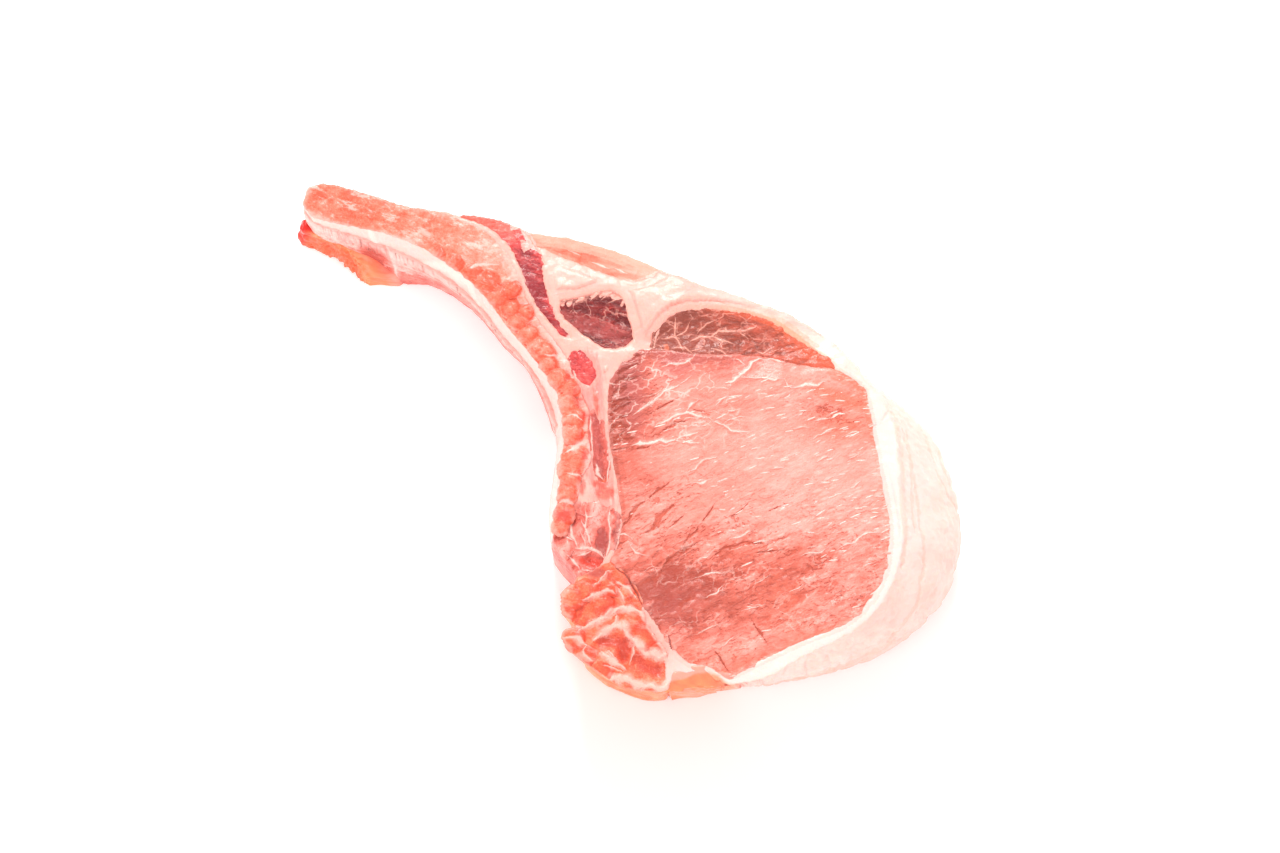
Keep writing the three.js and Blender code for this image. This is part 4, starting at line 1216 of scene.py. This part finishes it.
def rib_shape(points, normals, up):
    out = reach(points, ("outside",), 5)
    strip = reach(points, ("strip_muscle_long", "strip_muscle_short", "fat_body"), 6)
    shaft = points[:, 0] - CHOP[0]
    towards_neck = rise(shaft, -40, -22)
    lobe, number = lobed(points, RIB_LOBES, CHOP, 175)
    small = bubbles(points, 1.4, 185)
    relief, marks = shared(points, up)
    relief = relief + 1.15 * np.sqrt(lobe) * (0.35 + 0.65 * towards_neck) - 0.35 * towards_neck
    relief += 0.22 * small + 0.06 * waves(points, 0.8, 177, 2)
    thread = strokes(points, RIB_THREADS, CHOP, 0.6, 27)
    middle_part = rise(-shaft, 16, 28) * rise(shaft, -60, -48)
    net = rise(-np.abs(waves(points, 2.4, 191, 3)), -0.16, -0.0) * middle_part
    tip = rise(-shaft, 52, 64)
    stations = np.linspace(-74, -28, 16)
    flat = points[(up > 0.9) & (points[:, 2] > WALL_TOP)]
    slices = [flat[np.abs(flat[:, 0] - at) < 2][:, 1] for at in stations]
    centre = [(part.min() + part.max()) / 2 for part in slices]
    beside = points[:, 1] - np.interp(points[:, 0], stations, centre)
    # Painted highlight and shade: each lobe is painted paler on its top and deeper orange near its border.
    orange = 0.56 - 0.34 * lobe ** 2 * towards_neck + 0.26 * waves(points, 3.2, 193, 2)
    orange += 0.34 * rise(lobe, 0, 0.4) + 0.16 * (number - 0.5)
    orange += 0.16 * tip - 0.15 * towards_neck * (lobe <= 0)
    orange -= 0.50 * blob(points, CHOP, -33, 18.5, 8, 3.6, 35)
    orange += 0.12 * rise(-shaft, -4, 40)
    blood = np.zeros(len(points))
    for x, y, size in RIB_BLOOD:
        blood = np.maximum(blood, blob(points, CHOP, x, y, size))
    blood = blood * (0.75 + 0.5 * waves(points, 1.4, 197, 2))
    lower_edge = rise(-beside, 2.2, 4.4) * rise(-shaft, 40, 54)
    end = 0.9 * rise(-shaft, 71.5, 74) + rise(-out, -1.4, -0.1) * lower_edge
    rosy = rise(beside, 0.5, 4.5) * rise(-shaft, 34, 50)
    cartilage = rise(-strip, -2.6, -0.4) * rise(shaft, -40, -30) * (lobe <= 0.05)
    pale = 0.22 * net + 0.7 * clipped(end) + 0.6 * cartilage + 0.50 * rosy
    pale += 0.55 * blob(points, ORIGIN, -60.5, 16.2, 5, 2.2, -5)
    left_fold = ridge(points, [(-66.5, 6.4), (-61.9, 6.8), (-55.6, 5.4), (-50, 5.4)], 0.5, CHOP)
    right_fold = ridge(points, [(-50, 6.5), (-43, 8.4), (-36, 8.2), (-29, 4.6), (-20, 0.5)], 0.45, CHOP)
    folds = np.maximum(left_fold, right_fold)
    side = 0.10 * fibres(points, 15, 2.5, 5, 179, 2) + 0.15 * folds * (1 - up) - 0.15
    wisp = (0.55 * rise(-shaft, 14, 26) * (0.5 + 0.5 * rise(beside, -3, 2)) + 0.25) * (1 - 0.6 * lobe)
    marks.update(carried("thread", thread, up), orange=orange, pale=clipped(pale) * up,
                 blood=clipped(blood) * up, wall=1 - up, wisp=wisp * up, fold=folds * (1 - up),
                 low=rise(-points[:, 2], -15, -8) * (1 - up), speck=0.30 + 0.35 * tip)
    return relief * up + side * (1 - up), marks


# pale folds of the sawn backbone that fade towards their right, as (width, points from its middle)
CHINE_THREADS = [
    (0.8, [(11.9, -0.9), (10.1, -0.5), (7.8, -0.7), (6.3, -1.4), (3.8, -1.3), (1.8, -0.7), (0.2, 0.1),
     (-1.2, -0.4), (-1.9, -1.9), (-2.6, -3.2), (-2.9, -4.9)]),
    (0.7, [(-6.4, -5.5), (-5.2, -2.7), (-4.2, -0.5), (-3.7, 1.1), (-2.6, 2.9), (-0.9, 3.9), (1.1, 4.4)]),
    (0.5, [(-1.9, -1.9), (-1.9, -0.2), (-2.4, 1.1)]), (0.45, [(3.4, -1.7), (4.3, -2.8), (4.7, -4.2)]),
    (0.5, [(-9, 0.2), (-8.2, 0.9), (-7.6, 2.7), (-6.4, 4.5), (-5, 4.6)]),
    (0.6, [(-5.6, 6.6), (-3.6, 6.8), (-1.6, 6.2)]), (0.9, [(-4.4, 5.4), (-2.8, 4.8)]),
    (0.8, [(14.8, -0.7), (13.4, -2.6), (13.1, -4.6), (12.2, -5.8), (10.8, -6.1), (9.3, -7.2), (7.7, -7.7),
     (6.1, -7.6), (4.1, -9.3), (3.6, -10.4)]), (0.5, [(-7.6, -7.6), (-5.9, -6.8), (-3.4, -6.6)]),
    (0.4, [(-3.4, -6.8), (-3.1, -8.6), (-1.4, -8.4)]),
    (0.5, [(-10.4, -5.1), (-8.4, -5.6), (-6.9, -5), (-5.7, -3.8)]),
    (1, [(-0.1, -6.2), (2.1, -6), (3.7, -6), (4.7, -6.3)]), (0.35, [(0.4, -5), (2.4, -5.2)]),
    (0.3, [(-9.4, 4.4), (-8.8, 6.2), (-8.2, 8)]), (0.3, [(1.6, -8), (3, -7.4), (4.6, -7.2)])]
# its hollows, painted red as their own colour and as their shade, as (width, points), and its lobes, as (x,
# y, size)
CHINE_HOLLOWS = [(1.6, [(-1.6, -4.2), (0.8, -2.6), (2.8, -3)]), (1.3, [(1.8, -2.2), (3.4, -4.4)]),
                 (1.9, [(5.8, -3.6), (8, -3.4), (10, -2.9)])]
CHINE_LOBES = [
    (-11, -0.6, 2.6), (-9.6, 2.4, 2.4), (-10.6, -4, 2.2), (-5.8, 1.4, 2.2), (-6.4, -7, 2.4),
    (0.8, 2.2, 2.4), (4.4, 0.8, 2.4), (-6.4, 4.8, 1.8), (-2.6, -8.4, 2.2), (-3.4, 6, 1.6), (1.6, -9, 2),
    (8, 0.2, 1.6)]


def chine_shape(points, normals, up):
    thread = strokes(points, CHINE_THREADS, CHINE, 0.7, 29, 2.2)
    lobe, number = lobed(points, CHINE_LOBES, CHINE, 275)
    small = bubbles(points, 2.0, 285)
    relief, marks = shared(points, up)
    hollow = np.zeros(len(points))
    for width, line in CHINE_HOLLOWS:
        hollow = np.maximum(hollow, ridge(points, line, width, CHINE))
    relief = relief + 0.9 * np.sqrt(lobe) - 1.1 * hollow + 0.18 * small
    relief += 0.30 * stroke_height(*thread, 2.0) + 0.05 * waves(points, 1.0, 277, 2)
    # Painted highlight and shade: each lobe is painted paler on its top and deeper orange near its border.
    orange = 0.74 + 0.30 * waves(points, 3, 293, 2) - 0.30 * lobe ** 2
    orange += 0.25 * rise(lobe, 0, 0.3) + 0.2 * (number - 0.5)
    orange -= 0.35 * blob(points, CHINE, 11, -4.4, 2.6, 1.4, 60)
    groove = ridge(points, [(-8.9, 2.6), (-8.6, -0.3), (-8.2, -2.5), (-7.9, -3.9)], 0.6, CHINE)
    right = (points[:, :2] - CHINE) @ RIGHT[:2]
    # The hollows and the notch are painted blood red, as the marrow's own colour and as painted shade in
    # them.
    blood = np.maximum(hollow * (1.05 - 0.3 * rise(right, 0, 9)), 0.75 * groove)
    blood = np.maximum(blood, 0.6 * blob(points, CHINE, -5.0, 0.6, 2.4, 1.0, 60))
    blood = blood * (0.95 + 0.3 * waves(points, 2.0, 297, 2))
    skin = [(1.8, 4.4), (5.2, 2.9), (7.8, 1.9), (10.3, 1.1), (12.6, 0.2), (13.2, -2.0), (13.2, -4.4)]
    fascia = rise(-from_line(points, skin, CHINE), -1.5, -0.5)
    marbled = 0.25 * rise(fibres(points, 35, 1.8, 2.6, 299, 3), 0.05, 0.5)
    wedge = spots(points, [(1.0, -10.4, 6.2, 3.4, 1.6, 20), (0.7, -4.6, 7.8, 3.0, 0.8, -10)], CHINE)
    edge = reach(points, ("outside",), 4)
    notch = ridge(points, [(-13.0, -4.4), (-8.2, -5.8)], 0.7, CHINE) * clipped(1 - edge / 3.6)
    side = 0.3 * fibres(points, 20, 1.6, 3.5, 279, 2) - 0.25
    pale = clipped(marbled + 0.9 * fascia) * up * (1 - wedge)
    marks.update(carried("thread", thread, up), orange=orange, pale=pale, mauve=wedge * up, wall=1 - up,
                 blood=clipped(blood + 0.5 * notch) * up, wisp=0.25 * up, speck=np.full(len(points), 0.12))
    return normals * (relief * up + (1 - up) * side)[:, None] + 2.4 * notch[:, None] * RIGHT, marks


def bone_finish(name, shades, walls, foot, blood, hollow_shade, pale, fray_by, turn, soft=1.1, cover=0.65, fade=0.0):
    """Sawn bone: grainy marrow with blood and caves, pale threads, wisps and specks, and smooth walls. Shade
    is painted into the caves and light onto the swells between them.
    """
    finish = Finish(name)
    fine = finish.noise(0.33, 3, 0.65)
    grain = finish.noise(1.0, 4, 0.65, twist=0.6)
    streak = finish.noise(1.6, 3, 0.6, finish.along(turn, 2.2))
    broad = finish.noise(4.0, 2, 0.5, twist=0.4)
    orange = finish.mark("orange", (grain, 1.1), (fine, 0.8), (streak, 0.6))
    finish.colour = finish.ramp(orange, (0.0, 0.35, 0.65, 1.0), shades)
    finish.lay("blood", 0.2, 0.9, 0.85, blood, (fine, 0.9), (grain, 0.5))
    finish.lay("mauve", 0.2, 0.9, 0.8, (188, 92, 84), (streak, 0.8))
    # Painted light on the swells and painted shade in the hollows.
    finish.lay("cave", -0.05, -0.3, 0.4, pale, (fine, 0.12))
    finish.lay("cave", 0.04, 0.26, 0.75, hollow_shade, (fine, 0.12))
    finish.cover(finish.dashes(1.2, turn, 2.2, finish.mark("speck"), (fine - 0.5) * 0.6) * 0.5, pale)
    finish.lay("pale", 0.2, 0.9, 0.7, pale, (fine, 0.8), (streak, 0.9))
    fray = ((fine - 0.5) + (grain - 0.5)) * fray_by
    wisp = finish.noise(1.8, 5, 0.72, finish.along(turn - 8, 2.6)) + (fine - 0.5) * 0.12
    finish.cover(finish.step(wisp, 0.53, 0.64) * finish.mark("wisp"), pale)
    finish.cover(finish.below("thread", fray, 7.0) * fade, pale)
    finish.cover(finish.stroke("thread", fray, 3.0, 0.9) * 0.30, pale)
    finish.cover(finish.stroke("thread", fray, soft) * (grain * 0.6 + cover - 0.1), pale)
    wall = finish.blend(finish.step(broad + (streak - 0.5) * 0.6, 0.35, 0.65), *walls)
    wall = finish.blend(finish.mark("low") * 0.8, wall, foot)
    wall = finish.blend(finish.step(finish.mark("fold"), 0.3, 0.9) * 0.6, wall, (275, 270, 262))
    finish.lay("wall", 0.25, 0.7, 1.0, wall, (fine, 0.4))
    finish.slits(fine)
    normal = finish.bump(grain * 0.6 + fine * 0.5 + streak * 0.4, 0.26)
    return finish.close(0.36 + (fine - 0.5) * 0.4, normal, 0.25, 1.1, 0.15)


rib_finish = bone_finish(
    "sawn_rib", [(270, 216, 203), (265, 174, 155), (260, 142, 114), (244, 106, 76)],
    [(272, 240, 232), (272, 244, 238)], (262, 200, 188), (246, 82, 72), (236, 88, 56), (272, 234, 226),
    1.6, 20)
chine_finish = bone_finish(
    "sawn_backbone", [(268, 200, 172), (262, 156, 120), (254, 124, 86), (236, 92, 64)],
    [(268, 186, 138), (262, 146, 94)], (264, 152, 106), (206, 80, 64), (206, 76, 54), (272, 232, 222),
    2.4, 30, 1.3, 0.50, 0.32)

make_piece("rib_bone", rib_finish, 0.42, open_side("fat_body", "rib_meat", "strip_muscle_long"),
           rib_shape, ragged=0.16)
make_piece("chine_bone", chine_finish, 0.40, open_side("fat_body", "eye_muscle", "joint_muscle"),
           chine_shape)

# ---------------------------------------------------------------- fat

# where the fat is creased, as (width, points), and where it swells, as (width, height, points), from the
# middle of the chop
FAT_CREASES = [
    (0.7, [(47.7, 32.5), (51, 28.6), (55.9, 22.2), (60, 16.5), (63.2, 12.7), (65.4, 8.2)]),
    (0.5, [(51, 32.3), (56, 25.8), (60.7, 19.3), (63.6, 15.3)]),
    (0.5, [(51.5, 36.7), (55.3, 33.8), (58.3, 31.4)]),
    (0.5, [(56.9, 35), (61, 31.6), (65.1, 29.5), (68.1, 26.6)]),
    (0.4, [(58.7, 30.5), (63.1, 28.6), (66.9, 26.3)]), (0.5, [(45.4, 33.4), (46.4, 31.4), (46, 29.6)]),
    (0.5, [(44.5, 33.9), (50.8, 31.4), (56.7, 25.8), (61.9, 19.7), (68.1, 12), (71.3, 4.8), (71.3, -4.7),
     (67.3, -12.2), (61.2, -20), (57.5, -26.1)]),
    (0.35, [(-0.3, 26.2), (0.6, 28.8), (3.1, 31.2), (6.8, 32.8), (10.4, 33.2)]),
    (0.4, [(-3.4, 17.8), (-2.4, 20.6), (-2.2, 23.8)])]
FAT_SWELLS = [
    (3, 0.45, [(-19.4, 16.6), (-17.6, 20.2), (-14.2, 22.8), (-10.7, 23.4), (-8, 22.6), (-6, 20.8)]),
    (3.2, 0.7, [(-2, 21.5), (-1.4, 25), (0.8, 28.2), (3.8, 30.8), (7.6, 32.2), (11.5, 32.4)]),
    (5.5, 0.5, [(-5.5, 22), (-4, 27), (0, 32)]),
    (1.4, 0.5, [(49.3, 30.6), (53.6, 24.6), (58.2, 18.2), (61.6, 14)]),
    (2, 0.5, [(66, 22), (66.6, 17), (65.6, 13.2)]),
    (0.5, 0.4, [(-3.2, 8.5), (0, 3.3), (6.6, -4.4), (13.4, -11.8), (18.8, -17.7)]),
    (0.4, 0.3, [(-3.3, 4.7), (0.2, 1), (3.6, -4.1), (7.7, -8.5)])]
# reddish spots in the web between the rib and the eye, as (strength, x, y, across, along, turn)
FAT_RED = [
    (1, 9.4, -10.6, 2.6, 1.3, 125), (1.5, 11, -12, 2, 1.3, 30), (1, 8.6, -11.2, 1.2, 0.9, 60),
    (0.7, 6.6, -13.6, 1.2, 2.4, 30), (0.9, -0.4, 1.4, 0.6, 4, 40), (0.9, 4.4, -3.2, 0.8, 4, 40),
    (0.9, 8.4, -17.6, 1.6, 2.4, 30), (0.8, 12, -25.4, 2.6, 1.2, -40)]


# where the meat ends and the white fat begins, beside the tail
FLESH_EDGE = [
    (1, [(50.6, -30.4), (51, -28.5), (52, -25.7), (53.4, -23.5), (53.7, -21.1), (54.2, -18.9),
     (56.3, -15)])]


def fat_shape(points, normals, up):
    lean = reach(points, LEAN_NODES, 3)
    relief, marks = shared(points, up)
    fibre = fibres(points, 30, 3, 2.0, 391, 2)
    relief = relief + 0.05 * waves(points, 1.6, 393, 2) + 0.05 * fibre
    across, away = strokes(points, FAT_CREASES, CHOP, 0.5, 31)
    crease = stroke_height(across, away, 2.6)
    swells = np.zeros(len(points))
    for width, height, line in FAT_SWELLS:
        swells = np.maximum(swells, height * ridge(points, line, width, CHOP))
    around = np.arctan2(points[:, 1] - EYE[1], points[:, 0] - EYE[0]) * 36
    unrolled = np.stack([around, points[:, 2] * 0.3, 0 * around], 1)
    veins = np.abs(waves(unrolled + 0.5 * np.stack([waves(points, 4, 395)] * 3, 1), 5.0, 397, 2))
    wrinkle = 1 - rise(veins, 0.0, 0.34)
    free = rise(lean, 0.8, 2.0)
    wall = -0.35 * wrinkle + 0.30 * waves(points, 6, 399, 2) + 0.08 * waves(points, 1.8, 401, 2) - 0.3
    lift = relief * up + (1 - up) * free * wall + swells * free - 0.12 * crease
    far = rise(points[:, 0] - CHOP[0], 36, 46)
    upper = blob(points, CHOP, 20, 38.5, 18, 3.6, 10)
    fell = clipped(upper) * (0.75 + 0.5 * waves(points, 4.0, 403, 2))
    # Peach on the fat's folds beside the cap and the side muscle: partly the fat's own tint, partly painted
    # shade.
    peach = blob(points, CHOP, -3, 24.5, 9, 5, 35) + 0.8 * blob(points, CHOP, -19, 19, 10, 4, 15)
    peach = peach + 0.9 * rise(-lean, -2.0, -0.2) * blob(points, CHOP, 2, 26, 10, 6, 35)
    web = from_line(points, [(-7, 7.5), (-4, 5), (0, 0), (6, -7), (12, -14), (15, -19)], CHOP)
    web = rise(-web, -4.2, -1.2) * up
    lip = rise(-lean, -2.0, -0.2) * blob(points, CHOP, 22, 36, 20, 6, 25)
    beyond, _ = strokes(points, TAIL_FOLD, CHINE, 0.4, 33)
    tail = rise(-reach(points, ("tail_sinew",), 8), -6.5, -0.4) * (1 - rise(beyond, -1.6, 1.0) * up)
    # Painted shade: the foot of the wall, more so on the side towards the camera, is painted darker.
    low = rise(-points[:, 2], -13, -2) * (1 - up) * (0.5 + 0.5 * rise(-points @ UP, -6, 30))
    inner, off = strokes(points, FLESH_EDGE, ORIGIN, 0.6, 35)
    flesh = rise(inner, -0.8, 0.8) * rise(-off, -4.0, -2.8) * rise(beyond, 0.0, 1.6) * up
    rag = ridge(points, [(48.6, -31.4), (51.4, -28.6), (54.4, -25.0)], 1.5) * rise(points[:, 2], 5, 8)
    rag = 0.7 * rag * rise(waves(points, 2.0, 405, 2), -0.2, 0.3) * (1 - up)
    cut = rise(normals[:, 2], 0.72, 0.92) * rise(points[:, 2], 12, 15) * (0.22 + 0.78 * far) * (1 - tail)
    marks.update(white=rise(points @ RIGHT, 14, 40), cut=cut, lean=lean, fell=fell, lip=lip, web=web,
                 crease=clipped(0.9 * crease + 0.1 * wrinkle * (1 - up) * free), peach=clipped(peach),
                 low=low, tail=tail, flesh=flesh, red=clipped(spots(points, FAT_RED, CHOP) * up + rag))
    return lift, marks


def white_fat():
    """Pale fat, rosy on the left and white on the right, with reddened and torn places, and painted shade in
    its hollows, creases and folds and at the foot of its wall.
    """
    finish = Finish("white_fat")
    fibre = finish.noise(1.6, 3, 0.6, finish.along(30, 2.5))
    strand = finish.noise(0.7, 3, 0.6, finish.along(-48, 5.0))
    fine = finish.noise(0.5, 3, 0.6)
    broad = finish.noise(7.0, 2, 0.5)
    veil = finish.step(broad + (fine - 0.5) * 0.3, 0.35, 0.65)
    finish.colour = finish.blend(veil, (265, 207, 196), (262, 196, 183))
    finish.cover(finish.mark("white"), finish.blend(veil, (271, 250, 243), (268, 240, 231)))
    # painted shade at the foot of the wall
    finish.cover(finish.mark("low") * 0.9, (254, 214, 197))
    # peach on the folds, partly painted shade
    finish.cover(finish.mark("peach") * 0.8, (266, 200, 186))
    finish.lay("web", 0.35, 1.1, 0.85, (242, 132, 124), (strand, 2.2))
    finish.lay("fell", 0.3, 1.1, 0.7, (268, 186, 172), (fibre, 2.0))
    # Painted shade in the hollows.
    finish.lay("cave", 0.03, 0.22, 0.4, (266, 196, 176), (fine, 0.16))
    finish.cover(finish.mark("cut") * 0.8, (274, 257, 255))
    finish.lay("lean", 0.7, 0.0, 0.3, (266, 200, 186), (fine, 1.6))
    finish.lay("lip", 0.1, 1.0, 0.8, (268, 186, 150), (fine, 0.6))
    # Painted shade in the creases.
    finish.lay("crease", 0.3, 1.0, 0.35, (264, 208, 186), (fine, 0.9))
    finish.lay("tail", 0.2, 1.0, 0.85, (266, 172, 126), (fibre, 0.8))
    torn = finish.step(fibre + (fine - 0.5) * 0.6, 0.36, 0.64)
    raw = finish.blend(torn, (230, 116, 98), (256, 164, 150))
    finish.lay("flesh", 0.3, 0.6, 0.9, raw, (fibre, 0.9), (fine, 0.5))
    red = finish.blend(torn, (204, 88, 74), (244, 132, 112))
    finish.lay("red", 0.2, 0.9, 0.8, red, (strand, 1.2), (fine, 0.5))
    finish.slits(fine)
    normal = finish.bump(fibre * 0.7 + fine * 0.5 + strand * finish.mark("web"), 0.14)
    return finish.close(0.38 + (fine - 0.5) * 0.3, normal, 0.35, 2.0, 0.15)


def fleck_finish():
    finish = Finish("fat_flecks")
    grain = finish.noise(0.5, 2, 0.6)
    finish.colour = finish.ramp(grain, (0.3, 0.6), [(268, 214, 204), (275, 250, 242)])
    return finish.close(0.35, finish.bump(grain, 0.1), 0.3, 0.6, 0.3)


make_piece("fat_body", white_fat(), 0.56,
           open_side("eye_muscle", "side_muscle", "cap_muscle", "chine_bone", "rib_bone"), fat_shape,
           lap=0.35)

# ---------------------------------------------------------------- flecks of fat strewn over the eye


def strewing(name, finish):
    """A node tree that strews small spindles over a mesh, thickest where its fleck mark is high."""
    tree = bpy.data.node_groups.new(name, "GeometryNodeTree")
    for label, way, kind in (
            ("Geometry", "INPUT", "Geometry"), ("Density", "INPUT", "Float"), ("Length", "INPUT", "Float"),
            ("Width", "INPUT", "Float"), ("Height", "INPUT", "Float"), ("Way", "INPUT", "Vector"),
            ("Seed", "INPUT", "Int"), ("Geometry", "OUTPUT", "Geometry")):
        tree.interface.new_socket(label, in_out=way, socket_type="NodeSocket" + kind)

    def node(kind, settings=None, sockets=None):
        made = tree.nodes.new(kind)
        for label, value in (settings or {}).items():
            setattr(made, label, value)
        for label, value in (sockets or {}).items():
            if isinstance(value, bpy.types.NodeSocket):
                tree.links.new(value, made.inputs[label])
            else:
                made.inputs[label].default_value = value
        return made

    def times(first, second):
        return node("ShaderNodeMath", {"operation": "MULTIPLY"}, {0: first, 1: second}).outputs[0]

    given = node("NodeGroupInput").outputs

    def chance(least, most):
        """A random number for each fleck."""
        return node("FunctionNodeRandomValue", {"data_type": "FLOAT"},
                    {2: least, 3: most, "Seed": given["Seed"]}).outputs[1]

    mark = node("GeometryNodeInputNamedAttribute", {"data_type": "FLOAT"}, {"Name": "fleck"})
    mark = mark.outputs["Attribute"]
    strewn = node("GeometryNodeDistributePointsOnFaces", {"distribute_method": "RANDOM"},
                  {"Mesh": given["Geometry"], "Density": times(times(mark, mark), given["Density"]),
                   "Seed": given["Seed"]})
    sway = node("FunctionNodeRandomValue", {"data_type": "FLOAT_VECTOR"},
                {0: (-0.3, -0.3, 0.0), 1: (0.3, 0.3, 0.0), "Seed": given["Seed"]}).outputs[0]
    way = node("ShaderNodeVectorMath", {"operation": "ADD"}, {0: given["Way"], 1: sway}).outputs[0]
    aimed = node("FunctionNodeAlignRotationToVector", {"axis": "X"}, {"Vector": way}).outputs[0]
    lying = node("FunctionNodeAlignRotationToVector", {"axis": "Z", "pivot_axis": "X"},
                 {"Rotation": aimed, "Vector": strewn.outputs["Normal"]}).outputs[0]
    long, wide = times(chance(0.2, 1.7), given["Length"]), times(chance(0.6, 1.5), given["Width"])
    scale = node("ShaderNodeCombineXYZ", {}, {"X": long, "Y": wide, "Z": given["Height"]}).outputs[0]
    ball = node("GeometryNodeMeshUVSphere", {}, {"Segments": 8, "Rings": 6, "Radius": 1.0}).outputs["Mesh"]
    flecks = node("GeometryNodeInstanceOnPoints", {},
                  {"Points": strewn.outputs["Points"], "Instance": ball, "Rotation": lying, "Scale": scale})
    solid = node("GeometryNodeRealizeInstances", {}, {"Geometry": flecks.outputs[0]}).outputs[0]
    smooth = node("GeometryNodeSetShadeSmooth", {}, {"Geometry": solid}).outputs[0]
    dressed = node("GeometryNodeSetMaterial", {}, {"Geometry": smooth, "Material": finish}).outputs[0]
    tree.links.new(dressed, node("NodeGroupOutput").inputs[0])
    return tree


def strew(name, host, node_name, tree, given):
    """A piece made of what the tree strews over the host piece's mesh."""
    piece = placed(name, host.data.copy())
    change = piece.modifiers.new("strewing", "NODES")
    change.node_group = tree
    for item in tree.interface.items_tree:
        if item.name in given:
            change[item.identifier] = given[item.name]
    seen = piece.evaluated_get(bpy.context.evaluated_depsgraph_get())
    made = bpy.data.meshes.new_from_object(seen)
    piece.modifiers.remove(change)
    put(made, np.clip(read(made.vertices, "co"), np.array(cad_low), np.array(cad_high)))
    piece.data = made
    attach(piece, "root")
    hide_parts(node_name)


FLECK_WAY = math.radians(51)
strew("eye_flecks", eye_piece, "eye_muscle", strewing("strewn_flecks", fleck_finish()),
      {"Density": 0.22e6, "Length": 0.80 * MM, "Width": 0.11 * MM, "Height": 0.06 * MM,
       "Way": (math.cos(FLECK_WAY), math.sin(FLECK_WAY), 0.0), "Seed": 7})
